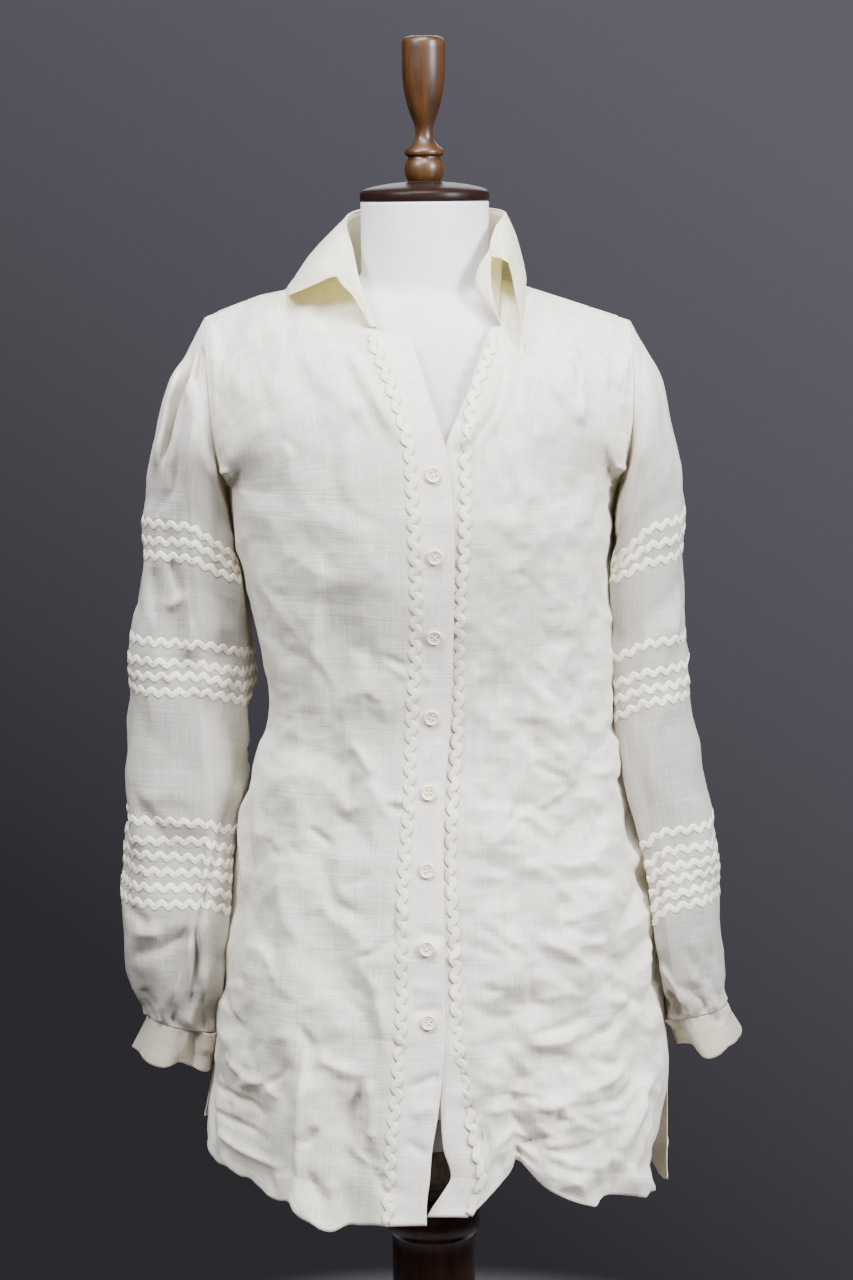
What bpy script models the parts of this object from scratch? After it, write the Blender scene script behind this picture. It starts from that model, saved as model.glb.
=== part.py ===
"""A buttoned tunic top on a limbless dress form, at its real size.

Axes: +X is the wearer's left, -Y the front, +Z up. The origin is the middle of
the foot's underside. All sizes below are in millimetres; meshes are in metres.
"""

import math

import bpy
import numpy as np

MM = 0.001

# ---------------------------------------------------------------- sizes

WALL = 1.5          # thickness of a cloth wall
SEAM = 0.3          # gap between two sewn pieces
SLEEVE_GAP = 0.5    # the same where a sleeve or cuff is gathered on
LAP = 4.2           # how far the buttoned front stands out over the other one
LAP_FADE = 65.0     # width over which that lift dies away
LAP_ROWS = 6        # rows below the shoulder over which it dies away too
CHEST = 845.0       # height of the underarm points
CROWN_GROWTH = 34.0  # how much wider than the chest the shell is above it
CROWN_RISE = 60.0   # height over which it grows
ARMHOLE_PULL = 0.4  # share of a panel's width that bends towards its armhole
FRONT_ROUND = 1.9   # roundness of the upper front, seen from the side
BACK_ROUND = 2.5    # the same for the upper back
SLIT_TOP = 337.0    # top of the side slits
SLIT_REACH = 100.0  # how far below that a slit is fully open
SLIT_SPREAD = 5.0   # how far each of its sides swings away there
SLIT_FLARE = 8.0    # how far the back stands out beside it
BRAID_LIFT = 0.7    # gap under a braid
BRAID_HEIGHT = 1.3
BRAID_HALF = 2.6    # half the width of the braid's ribbon
BRAID_WAVE = 12.5   # length of one wave
BRAID_SWING = 3.6   # how far the ribbon's middle swings to each side
BRAID_ENDS = (3.0, 14.0)  # where a front braid stops short of the hem and neck
BUTTON_RADIUS = 7.5
BUTTON_HEIGHT = 2.4
BUTTON_GAP = 0.5
BUTTON_SIDES = 10
BUTTON_PROFILE = [(0.0, 0.85), (0.7, 1.0), (1.0, 0.85), (0.7, 0.62)]  # shares, from below

LOWER_ROWS = 3      # rows of a panel below the slits' top
BODY_ROWS = 14      # rows from there to the chest
UPPER_ROWS = 9      # rows from the chest to the shoulder
NECK_ROW = 5        # the upper row at which the neckline starts
FRONT_COLUMNS = 11
BACK_HALF_COLUMNS = 8
BACK_NECK_COLUMN = 3
SLEEVE_RINGS = 21
ROUND_SIDES = 14

# the shell of the body: a superellipse at each height
BODY = [
    # height, right, left, front, back, power
    (210, 204, 215, 146, 150, 2.2),
    (280, 200, 214, 143, 150, 2.2),
    (340, 192, 211, 139, 149, 2.2),
    (420, 181, 198, 134, 145, 2.2),
    (500, 174, 187, 126, 136, 2.2),
    (560, 166, 177, 118, 122, 2.2),
    (600, 156, 168, 113, 110, 2.3),
    (640, 148, 163, 110, 101, 2.3),
    (700, 153, 161, 117, 100, 2.3),
    (770, 162, 160, 133, 106, 2.2),
    (825, 170, 163, 140, 111, 2.2),
    (845, 172, 165, 139, 112, 2.2),
]

# each side's shoulder tip and neck point, and the top of its band's seam
SIDES = {
    "right": dict(sign=-1, tip=(190.0, 985.0), neck=(71.25, 1024.0), band_top=982.0),
    "left": dict(sign=1, tip=(176.0, 985.0), neck=(66.0, 1021.0), band_top=984.0),
}
ARMHOLE_FRONT = 62.0  # depth of an armhole before and behind the shoulder
ARMHOLE_BACK = 56.0
UNDERARM_STEPS = 3.5  # steps from the underarm over which its seam turns upwards
BACK_NECK_HEIGHT = 1012.0

# how far out each armhole lies, from the underarm (0) to the shoulder tip (1)
ARMHOLE = [
    # rise, right, left
    (0.00, 172, 165),
    (0.10, 177, 170),
    (0.30, 181, 174),
    (0.60, 185, 176),
    (1.00, 190, 176),
]

# the closure: where each band is sewn on and where its free edge lies
CLOSURE = [
    # height, right seam, right edge, left seam, left edge, left edge drop
    (230, -38, -6, 43, -1, 3),
    (250, -37, -5, 42, 5, 4),
    (290, -35, -1, 35, 9, 3),
    (337, -31, 7, 28, 6, 0),
    (400, -26, 11, 22, -9, 0),
    (460, -24, 11, 19, -13, 0),
    (522, -23, 11, 17, -14, 0),
    (590, -18, 12, 20, -11, 0),
    (655, -14, 18, 23, -8, 0),
    (737, -11, 21, 26, -5, 0),
    (800, -11, 22, 30, -2, 0),
    (850, -12, 20, 31, 3, 1),
    (888, -15, 15, 32, 15, 4),
    (930, -28, 0, 40, 33, 8),
    (965, -42, -12, 54, 46, 9),
    (990, -58, -30, 66, 57, 8),
]

# the hem's height along each panel, from the front seam (0) to the side (1)
HEM_RIGHT = [(0.0, 230), (0.22, 226), (0.38, 221), (0.5, 236), (0.75, 244), (1.0, 262)]
HEM_LEFT = [(0.0, 240), (0.15, 252), (0.27, 272), (0.42, 256), (0.65, 238), (1.0, 229)]
HEM_BACK = [(-1.0, 280), (-0.6, 252), (0.0, 240), (0.6, 232), (1.0, 228)]

# folds that run up from the hem and die away
FOLD_FOOT = 235.0   # the height at which they are deepest
FRONT_FOLDS = [
    # x at hem, x at top, top height, half width, height outwards
    (-172, -158, 470, 22, -5),
    (-112, -104, 520, 20, 9),
    (-66, -60, 460, 17, -7),
    (50, 46, 480, 17, 6),
    (76, 72, 430, 13, -15),
    (112, 96, 500, 22, 9),
    (150, 140, 470, 17, -6),
    (183, 170, 430, 18, 5),
]
BACK_FOLDS = [
    (-165, -150, 520, 22, 8),
    (-118, -104, 480, 20, -7),
    (-62, -52, 560, 24, 9),
    (-8, -6, 450, 18, -6),
    (44, 38, 540, 22, 8),
    (96, 84, 470, 20, -8),
    (148, 130, 520, 22, 7),
]
# fishbone darts: soft troughs through the waist
FRONT_DARTS = [
    # x at bottom, x at top, bottom height, top height, half width, depth
    (-87, -81, 500, 780, 15, 5),
    (59, 85, 470, 800, 15, 6),
]
BACK_DARTS = [
    (-78, -78, 500, 790, 16, 6),
    (74, 74, 500, 790, 16, 6),
]

# the sleeves: outer and inner line seen from the front, and depth from the side
SLEEVES = {
    "right": [
        # outer x, outer z, inner x, inner z, front, back, middle
        (190, 985, 172, 845, 62, 56, 0),
        (206, 962, 175, 838, 60, 56, 0),
        (224, 930, 176, 826, 58, 56, 1),
        (237, 888, 176, 811, 57, 56, 2),
        (247, 848, 175, 795, 56, 56, 4),
        (250, 808, 173, 776, 55, 56, 6),
        (253, 768, 169, 748, 54, 56, 8),
        (259, 722, 165, 707, 53, 56, 10),
        (264, 660, 159, 647, 53, 57, 12),
        (268, 595, 164, 582, 54, 58, 13),
        (270, 535, 176, 522, 55, 59, 14),
        (272, 478, 184, 465, 54, 58, 14),
        (273, 430, 189, 418, 50, 54, 13),
        (266, 400, 191, 392, 43, 47, 11),
        (258, 383, 193, 376, 36, 39, 9),
        (252, 373, 194, 360, 32, 34, 8),
    ],
    "left": [
        (176, 985, 165, 845, 62, 56, 0),
        (189, 963, 168, 838, 61, 57, 0),
        (203, 938, 170, 827, 60, 58, 1),
        (211, 903, 171, 812, 60, 59, 2),
        (221, 862, 171, 797, 60, 60, 4),
        (224, 820, 170, 780, 60, 61, 6),
        (224, 775, 168, 755, 60, 62, 8),
        (226, 715, 168, 697, 60, 63, 10),
        (229, 655, 170, 637, 60, 64, 12),
        (239, 597, 180, 577, 61, 65, 13),
        (251, 540, 191, 518, 61, 65, 14),
        (257, 485, 200, 463, 59, 63, 14),
        (260, 435, 207, 414, 54, 58, 13),
        (261, 408, 210, 393, 46, 50, 11),
        (260, 397, 212, 385, 38, 41, 9),
        (257, 389, 213, 375, 33, 35, 8),
    ],
}
SLEEVE_POWER = 2.3
SLEEVE_START = 2.5  # rows over which a sleeve leaves its armhole's line
CAP_PLEAT = 3.0     # depth of the pleats in a sleeve's cap
CAP_ROWS = 4.5      # rows over which they die away
WRIST_GATHER = 2.2  # depth of the gathers above a cuff
WRIST_ROWS = 3.0    # rows over which they deepen
WRIST_FLAT = 0.6    # rows over which they are pressed flat at the cuff

# the cuffs: the lower edge, outer and inner point, and half depths
CUFFS = {
    "right": dict(outer=(262, 345), inner=(197, 329), front=35, back=37, middle=8),
    "left": dict(outer=(272, 366), inner=(218, 347), front=36, back=38, middle=8),
}
CUFF_END = 0.75     # where its ends meet, as a share of the way round: at the back
CUFF_LAP = 2        # steps by which they pass each other
CUFF_ROWS = 3
CUFF_DIP = (0.62, 0.10)  # where its lower edge bends in, and by what share

# rows of braid round each sleeve: the height on its outer line
SLEEVE_BRAIDS = {
    "right": [808, 793, 779, 708, 689, 676, 662, 544, 526, 512, 499, 485, 471],
    "left": [818, 802, 786, 713, 689, 675, 662, 548, 531, 518, 506, 494, 482],
}

# the collar: the fold and the free edge, at places along the neckline that
# count 0 at the right front end, 1 and 2 at the neck points, 3 at the left end
COLLAR = [
    # place, fold x, y, z, middle x, y, z, edge x, y, z
    (0.00, -37, -92, 990, -74, -66, 1024, -121, -44, 1003),
    (0.45, -55, -62, 1018, -90, -52, 1036, -123, -30, 1007),
    (0.80, -66, -28, 1052, -94, -24, 1047, -122, -8, 1012),
    (1.10, -69, 10, 1075, -94, 12, 1052, -119, 16, 1014),
    (1.30, -50, 54, 1081, -70, 72, 1056, -88, 84, 1012),
    (1.50, 0, 76, 1083, 0, 97, 1057, 0, 112, 1012),
    (1.70, 50, 52, 1081, 68, 68, 1056, 82, 84, 1010),
    (1.90, 68, 8, 1077, 82, 10, 1052, 93, 12, 1021),
    (2.20, 61, -27, 1066, 77, -26, 1054, 90, -34, 1013),
    (2.55, 57, -45, 1051, 74, -46, 1044, 88, -64, 992),
    (3.00, 54, -58, 1040, 71, -66, 1033, 83, -98, 966),
]
COLLAR_ROWS = 4

# centres of the front buttons
BUTTONS = [
    # x, height
    (5, 859), (6, 790), (6, 722), (3, 652), (-1, 587), (-3, 522), (-4, 459), (-3, 397),
]

# the dress form: how far it lies inside the cloth
FORM_INSET = [
    # height, inset
    (305, 40), (320, 26), (350, 19), (420, 14), (480, 13), (560, 14), (640, 15), (700, 15),
    (770, 8), (825, 5.5), (845, 5.5), (900, 5), (950, 3.2), (985, 2.3), (1004, 2.8),
    (1018, 5), (1060, 5),
]
FORM_RINGS = [
    305, 309, 316, 332, 365, 410, 455, 500, 545, 590, 640, 690, 735, 775, 810, 840, 870,
    900, 930, 953, 970, 982, 992, 1001, 1009, 1017, 1028, 1050, 1088,
]
FORM_SIDES = 26
FORM_SHOULDER_INSET = 24.0
NECK_RADIUS = 55.0
NECK_FOOT = 1000.0
FORM_FRONT_ROUND = 1.6  # flatter than the cloth, which stands off the chest
FORM_BACK_ROUND = 2.2
FORM_REACH = 260.0  # further than the form reaches in any direction
HALVINGS = 30       # steps of the search for the form's surface

# turned pieces: height and radius, from the bottom up
NECK_CAP = [(1088.4, 54.5), (1090, 55.6), (1095, 55.6), (1098, 53), (1101, 44), (1104, 26), (1105, 14)]
FINIAL = [
    (1105.4, 13.5), (1107, 14.8), (1112, 16.6), (1116, 16.9), (1121, 16), (1125, 13.8),
    (1126.5, 14), (1128, 16.6), (1131, 16.8), (1134, 14.5), (1138, 10.1), (1144, 7.6),
    (1149, 7.5), (1153, 8.4), (1160, 11), (1168, 13.7), (1176, 15.8), (1185, 17.3),
    (1195, 18.4), (1210, 18.5), (1223, 18.3), (1226.5, 16.5), (1228, 12),
]
POLE = [(250.3, 17), (252, 17.6), (304.7, 17.6)]
POLE_FOOT = [
    (206, 19), (209, 19), (211, 17.5), (214, 17.5), (216, 19.5), (219, 19.5), (221, 17.5),
    (248, 17), (250, 16),
]
COLUMN = [
    (28.3, 46), (36, 46), (42, 38), (48, 37), (160, 37), (171, 37), (174, 38.5), (178, 41),
    (186, 42.5), (194, 42), (199, 39), (203, 33), (205.7, 24),
]
FOOT = [(0, 156), (3, 160), (13, 160), (17, 156), (20, 140), (24, 90), (27, 62), (28, 50)]

COLOURS = {
    "linen": ((0.83, 0.80, 0.70), 0.85),
    "braid": ((0.84, 0.79, 0.65), 0.8),
    "shell_button": ((0.80, 0.76, 0.60), 0.35),
    "form_cover": ((0.80, 0.79, 0.80), 0.8),
    "turned_wood": ((0.12, 0.045, 0.02), 0.3),
    "dark_wood": ((0.03, 0.012, 0.008), 0.35),
    "pole_metal": ((0.25, 0.22, 0.18), 0.5),
}

INSIDE = np.array([0.0, 0.0, 600.0])        # a place inside the body
INSIDE_NECK = np.array([0.0, 0.0, 1040.0])  # and one inside the collar
INSIDE_LEAF = np.array([0.0, 0.0, 840.0])   # which the collar's leaf faces away from

# ---------------------------------------------------------------- reading tables


def read(rows, at, column=1):
    """A smooth curve through a table's column, read at a value of its first column."""
    keys = [row[0] for row in rows]
    values = [row[column] for row in rows]
    if at <= keys[0]:
        return float(values[0])
    if at >= keys[-1]:
        return float(values[-1])
    k = max(i for i in range(len(keys) - 1) if keys[i] <= at)

    def slope(i):
        low, high = max(i - 1, 0), min(i + 1, len(keys) - 1)
        return (values[high] - values[low]) / (keys[high] - keys[low])

    step = keys[k + 1] - keys[k]
    t = (at - keys[k]) / step
    return float(
        (2 * t**3 - 3 * t**2 + 1) * values[k]
        + (t**3 - 2 * t**2 + t) * step * slope(k)
        + (3 * t**2 - 2 * t**3) * values[k + 1]
        + (t**3 - t**2) * step * slope(k + 1)
    )


def ease(t):
    t = min(max(t, 0.0), 1.0)
    return t * t * (3 - 2 * t)


def mix(a, b, t):
    return a + (b - a) * t


def unit(v):
    return v / np.linalg.norm(v)


def bump(distance, half_width):
    """A soft ridge: 1 on its line, 0 from twice the half width on."""
    t = abs(distance) / (2 * half_width)
    return (1 - t * t) ** 2 if t < 1 else 0.0


# ---------------------------------------------------------------- the shell of the body


def shoulder_height(x):
    """Height of the shoulder ridge over a point across the body."""
    side = SIDES["right" if x < 0 else "left"]
    (tip_x, tip_z), (neck_x, neck_z) = side["tip"], side["neck"]
    return tip_z + (tip_x - abs(x)) * (neck_z - tip_z) / (tip_x - neck_x)


def half_width(side, z):
    return read(BODY, z, 1 if side < 0 else 2)


def shell_y(x, z, front, inset=0.0, crown_inset=0.0, roundness=None):
    """Where the shell's front or back lies, at a place seen from the front."""
    depth = read(BODY, z, 3 if front else 4) - inset
    width = half_width(x, z) - inset
    power = read(BODY, z, 5)
    if z > CHEST:
        grown = math.sin(math.pi / 2 * min((z - CHEST) / CROWN_RISE, 1.0))
        width += (CROWN_GROWTH - crown_inset) * grown
    across = max(1 - (abs(x) / width) ** power, 0.0) ** (1 / power)
    if z > CHEST:
        roundness = roundness or (FRONT_ROUND if front else BACK_ROUND)
        rise = (z - CHEST) / (shoulder_height(x) - inset - CHEST)
        across *= max(1 - min(rise, 1.0) ** roundness, 0.0) ** (1 / roundness)
    return -depth * across if front else depth * across


def fold_height(x, z, front):
    """How far the folds and darts move the cloth outwards."""
    height = 0.0
    for hem_x, top_x, top_z, half, rise in FRONT_FOLDS if front else BACK_FOLDS:
        t = (z - FOLD_FOOT) / (top_z - FOLD_FOOT)
        if t < 1:
            height += rise * ease(1 - t) * bump(x - mix(hem_x, top_x, max(t, 0)), half)
    for low_x, high_x, low, high, half, depth in FRONT_DARTS if front else BACK_DARTS:
        t = (z - low) / (high - low)
        if 0 < t < 1:
            height -= depth * math.sin(math.pi * t) * bump(x - mix(low_x, high_x, t), half)
    return height


def grid_normals(grid, inside):
    """Unit normals of a grid of points, all pointing away from an inner point."""
    down = np.gradient(grid, axis=0)
    across = np.gradient(grid, axis=1)
    normals = np.cross(down, across)
    normals /= np.linalg.norm(normals, axis=2, keepdims=True)
    middle = tuple(n // 2 for n in grid.shape[:2])
    if np.dot(normals[middle], grid[middle] - inside) < 0:
        normals = -normals
    return normals


def body_levels(hem):
    """A panel's row heights up to the chest, for a column that ends at this hem."""
    low = [mix(hem, SLIT_TOP, i / LOWER_ROWS) for i in range(LOWER_ROWS)]
    return low + [mix(SLIT_TOP, CHEST, i / BODY_ROWS) for i in range(BODY_ROWS + 1)]


def armhole_view(name, row):
    """The armhole seen from the front: x and z at one of the upper rows."""
    rise = (1 - math.cos(math.pi * row / UPPER_ROWS)) / 2
    column = 1 if name == "right" else 2
    sign = SIDES[name]["sign"]
    return sign * read(ARMHOLE, rise, column), mix(CHEST, SIDES[name]["tip"][1], rise)


def armhole_y(row, front):
    swing = math.sin(math.pi * row / UPPER_ROWS)
    return -ARMHOLE_FRONT * swing if front else ARMHOLE_BACK * swing


def section_share(start_x, name, z, s):
    """x across a section, evenly spaced round it, from a start to the side."""
    width = half_width(SIDES[name]["sign"], z)
    power = read(BODY, z, 5)
    begin = math.asin((abs(start_x) / width) ** (power / 2))
    return width * math.sin(mix(begin, math.pi / 2, s)) ** (2 / power)


def side_normal(name, z):
    slope = (half_width(SIDES[name]["sign"], z + 5) - half_width(SIDES[name]["sign"], z - 5)) / 10
    return unit(np.array([SIDES[name]["sign"], 0.0, -slope]))


def ridge_normal(name):
    side = SIDES[name]
    slope = (side["neck"][1] - side["tip"][1]) / (side["tip"][0] - side["neck"][0])
    return unit(np.array([side["sign"] * slope, 0.0, 1.0]))


def neckline_view(name, share):
    """The front neckline seen from the front, from its front end to the neck point."""
    side = SIDES[name]
    neck_x, neck_z = side["neck"]
    turn = share * math.pi / 2
    start = abs(read(CLOSURE, side["band_top"], 1 if name == "right" else 3))
    x = mix(start, neck_x, 1 - math.cos(turn))
    return side["sign"] * x, mix(side["band_top"], neck_z, math.sin(turn))


def spread_slit(point, name, z, front):
    """Swings a side edge away from the other panel below the slit's top."""
    share = min(max((SLIT_TOP - z) / SLIT_REACH, 0.0), 1.0)
    point[1] += (-1 if front else 1) * (SLIT_SPREAD * share + SEAM / 2)
    if not front:
        point[0] += SIDES[name]["sign"] * SLIT_FLARE * share


def front_panel(name):
    """Points and normals of a front: rows from the hem up, columns from the band out."""
    sign = SIDES[name]["sign"]
    seam_column = 1 if name == "right" else 3
    hem = HEM_RIGHT if name == "right" else HEM_LEFT
    columns = FRONT_COLUMNS + 1
    chest = LOWER_ROWS + BODY_ROWS
    rows = chest + 1 + UPPER_ROWS
    grid = np.zeros((rows, columns, 3))
    for c in range(columns):
        s = c / FRONT_COLUMNS
        for r, z in enumerate(body_levels(read(hem, s))):
            x = sign * section_share(read(CLOSURE, z, seam_column), name, z, s)
            grid[r, c] = x, shell_y(x, z, True), z
        inner_chest = grid[chest, 0, 0]
        reach = grid[chest, c, 0] - inner_chest
        share_chest = abs(reach / (sign * half_width(sign, CHEST) - inner_chest))
        for row in range(1, UPPER_ROWS + 1):
            if row <= NECK_ROW:
                inner_z = mix(CHEST, SIDES[name]["band_top"], row / NECK_ROW)
                inner_x = read(CLOSURE, inner_z, seam_column)
            else:
                share = (row - NECK_ROW) / (UPPER_ROWS - NECK_ROW)
                inner_x, inner_z = neckline_view(name, share)
            outer_x, outer_z = armhole_view(name, row)
            share = mix(share_chest, s, row / UPPER_ROWS)
            x, z = mix(inner_x, outer_x, share), mix(inner_z, outer_z, share)
            shift = armhole_y(row, True) - shell_y(outer_x, outer_z, True)
            y = shell_y(x, z, True) + shift * ease((s - 1 + ARMHOLE_PULL) / ARMHOLE_PULL)
            grid[chest + row, c] = x, y, z
    for r in range(chest + 1):
        spread_slit(grid[r, -1], name, grid[r, -1, 2], True)
    grid[-1, :, 1] -= SEAM / 2
    normals = grid_normals(grid, INSIDE)
    set_side_normals(normals, grid, name, -1)
    normals[-1, :] = ridge_normal(name)
    lift = np.zeros(grid.shape[:2])
    for r in range(chest + 1):
        for c in range(1, columns - 1):
            lift[r, c] = fold_height(grid[r, c, 0], grid[r, c, 2], True)
    if name == "right":
        for r in range(rows):
            away = np.abs(grid[r, :, 0] - grid[r, 0, 0])
            lift[r] += [LAP * ease(1 - reach / LAP_FADE) for reach in away]
            lift[r] *= ease((rows - 1 - r) / LAP_ROWS)
    return grid + normals * lift[:, :, None], normals


def set_side_normals(normals, grid, name, column):
    """Gives both panels the same normals along a side seam."""
    for r in range(LOWER_ROWS + BODY_ROWS + 1):
        normals[r, column] = side_normal(name, grid[r, column, 2])


def back_panel():
    """Points and normals of the back: columns from the right side to the left."""
    half = BACK_HALF_COLUMNS
    chest = LOWER_ROWS + BODY_ROWS
    grid = np.zeros((chest + 1 + UPPER_ROWS, 2 * half + 1, 3))
    for c in range(2 * half + 1):
        name = "right" if c < half else "left"
        sign = SIDES[name]["sign"]
        s = abs(c - half) / half
        for r, z in enumerate(body_levels(read(HEM_BACK, sign * s))):
            x = sign * section_share(0.0, name, z, s)
            grid[r, c] = x, shell_y(x, z, False), z
        share_chest = abs(grid[chest, c, 0]) / half_width(sign, CHEST)
        tip_x = SIDES[name]["tip"][0]
        neck_x, neck_z = SIDES[name]["neck"]
        neck_share = s * half / BACK_NECK_COLUMN
        if neck_share < 1:
            top_x = neck_x * math.sin(math.pi / 2 * neck_share)
            top_z = mix(BACK_NECK_HEIGHT, neck_z, (top_x / neck_x) ** 2)
        else:
            top_x = mix(neck_x, tip_x, (neck_share - 1) / (half / BACK_NECK_COLUMN - 1))
            top_z = shoulder_height(sign * top_x)
        for row in range(1, UPPER_ROWS + 1):
            outer_x, outer_z = armhole_view(name, row)
            x = outer_x * mix(share_chest, top_x / tip_x, row / UPPER_ROWS)
            edge_share = (outer_z - CHEST) / (SIDES[name]["tip"][1] - CHEST)
            rise = math.sin(math.pi / 2 * row / UPPER_ROWS)
            z = mix(CHEST, top_z, mix(rise, edge_share, s))
            shift = armhole_y(row, False) - shell_y(outer_x, outer_z, False)
            y = shell_y(x, z, False) + shift * ease((s - 1 + ARMHOLE_PULL) / ARMHOLE_PULL)
            grid[chest + row, c] = x, y, z
    for r in range(chest + 1):
        spread_slit(grid[r, 0], "right", grid[r, 0, 2], False)
        spread_slit(grid[r, -1], "left", grid[r, -1, 2], False)
    normals = grid_normals(grid, INSIDE)
    for name, last, seam in (
        ("right", 0, slice(0, half - BACK_NECK_COLUMN + 1)),
        ("left", -1, slice(half + BACK_NECK_COLUMN, 2 * half + 1)),
    ):
        set_side_normals(normals, grid, name, last)
        grid[-1, seam, 1] += SEAM / 2
        normals[-1, seam] = ridge_normal(name)
    lift = np.zeros(grid.shape[:2])
    for r in range(chest + 1):
        for c in range(1, 2 * half):
            lift[r, c] = fold_height(grid[r, c, 0], grid[r, c, 2], False)
    return grid + normals * lift[:, :, None], normals


# ---------------------------------------------------------------- meshes


def add_object(name, vertices, faces, material):
    mesh = bpy.data.meshes.new(name)
    mesh.from_pydata([[float(v) * MM for v in p] for p in vertices], [], faces)
    mesh.materials.append(material)
    mesh.shade_smooth()
    mesh.set_sharp_from_angle(angle=math.radians(40))
    mesh.validate()
    body = bpy.data.objects.new(name, mesh)
    bpy.context.collection.objects.link(body)
    return body


def strip_faces(first, second, closed, flip):
    """Quads between two loops of point numbers."""
    faces = []
    count = len(first) if closed else len(first) - 1
    for i in range(count):
        j = (i + 1) % len(first)
        quad = [first[i], first[j], second[j], second[i]]
        faces.append(quad[::-1] if flip else quad)
    return faces


def wall(name, outer, inner, material, closed=False):
    """A closed wall between an outer and an inner grid of the same shape."""
    rows, columns = outer.shape[:2]
    vertices = list(outer.reshape(-1, 3)) + list(inner.reshape(-1, 3))
    at = np.arange(2 * rows * columns).reshape(2, rows, columns)
    facing = np.cross(outer[0, 1] - outer[0, 0], outer[1, 0] - outer[0, 0])
    flip = np.dot(facing, outer[0, 0] - inner[0, 0]) < 0
    faces = []
    for r in range(rows - 1):
        faces += strip_faces(at[0, r], at[0, r + 1], closed, flip)
        faces += strip_faces(at[1, r], at[1, r + 1], closed, not flip)
    faces += strip_faces(at[0, 0], at[1, 0], closed, not flip)
    faces += strip_faces(at[0, -1], at[1, -1], closed, flip)
    if not closed:
        faces += strip_faces(at[0, :, 0], at[1, :, 0], False, flip)
        faces += strip_faces(at[0, :, -1], at[1, :, -1], False, not flip)
    return add_object(name, vertices, [[int(i) for i in f] for f in faces], material)


def stacked_faces(rings, sides):
    """Faces of a stack of rings, closed by a flat end below and above."""
    faces = []
    for r in range(rings - 1):
        low = [r * sides + i for i in range(sides)]
        faces += strip_faces(low, [i + sides for i in low], True, False)
    faces.append(list(range(sides))[::-1])
    faces.append([(rings - 1) * sides + i for i in range(sides)])
    return faces


def turned(name, profile, material, sides=ROUND_SIDES):
    """A turned piece: a profile of heights and radii, closed by flat ends."""
    vertices = []
    for z, radius in profile:
        for i in range(sides):
            angle = 2 * math.pi * i / sides
            vertices.append((radius * math.cos(angle), radius * math.sin(angle), z))
    return add_object(name, vertices, stacked_faces(len(profile), sides), material)


# ---------------------------------------------------------------- the tunic's pieces


def placket(name, grid, normals, material):
    """The band along a front, from its seam to its free edge."""
    rows = LOWER_ROWS + BODY_ROWS + 1 + NECK_ROW
    edge_column = 2 if name == "right" else 4
    toward = -SIDES[name]["sign"]
    seam, edge = [], []
    for r in range(rows):
        z = grid[r, 0, 2]
        edge_x = read(CLOSURE, z, edge_column)
        edge_y = shell_y(edge_x, z, True)
        if name == "right":
            edge_y -= LAP * ease((rows + 1 - r) / (LAP_ROWS - 2))
        else:
            edge_y += read(CLOSURE, z, 5)
        seam.append(grid[r, 0] + np.array([toward * SEAM, 0.0, 0.0]))
        edge.append(np.array([edge_x, edge_y, z]))
    seam, edge = np.array(seam), np.array(edge)
    outer = np.stack([seam, (seam + edge) / 2, edge], axis=1)
    across = unit_rows(edge - seam)
    along = unit_rows(np.gradient((seam + edge) / 2, axis=0))
    facing = np.cross(across, along)
    facing *= np.sign(-facing[:, 1:2])
    inner = outer - facing[:, None, :] * WALL
    inner[:, 0] = outer[:, 0] - normals[:rows, 0] * WALL
    wall(f"placket_{name}", outer, inner, material)
    return outer, facing


def unit_rows(vectors):
    return vectors / np.linalg.norm(vectors, axis=-1, keepdims=True)


def sleeve_row(name, v):
    """The sleeve's table read at a place between its rows."""
    rows = [(i,) + row for i, row in enumerate(SLEEVES[name])]
    return [read(rows, v, column) for column in range(1, 8)]


def sleeve_ring(name, v):
    """One ring of the plain sleeve, from the underarm round the front and back."""
    outer_x, outer_z, inner_x, inner_z, front, back, middle = sleeve_row(name, v)
    sign = SIDES[name]["sign"]
    ring = []
    for i in range(2 * UPPER_ROWS):
        angle = math.pi * i / UPPER_ROWS
        c, s = math.cos(angle), math.sin(angle)
        sharp = 2 / SLEEVE_POWER if v > 1 else 1.0
        along = math.copysign(abs(c) ** sharp, c)
        depth = math.copysign(abs(s) ** sharp, s)
        x = mix(outer_x, inner_x, (1 + along) / 2)
        z = mix(outer_z, inner_z, (1 + along) / 2)
        y = middle - (front if depth > 0 else back) * depth
        ring.append((sign * x, y, z))
    return np.array(ring)


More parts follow.
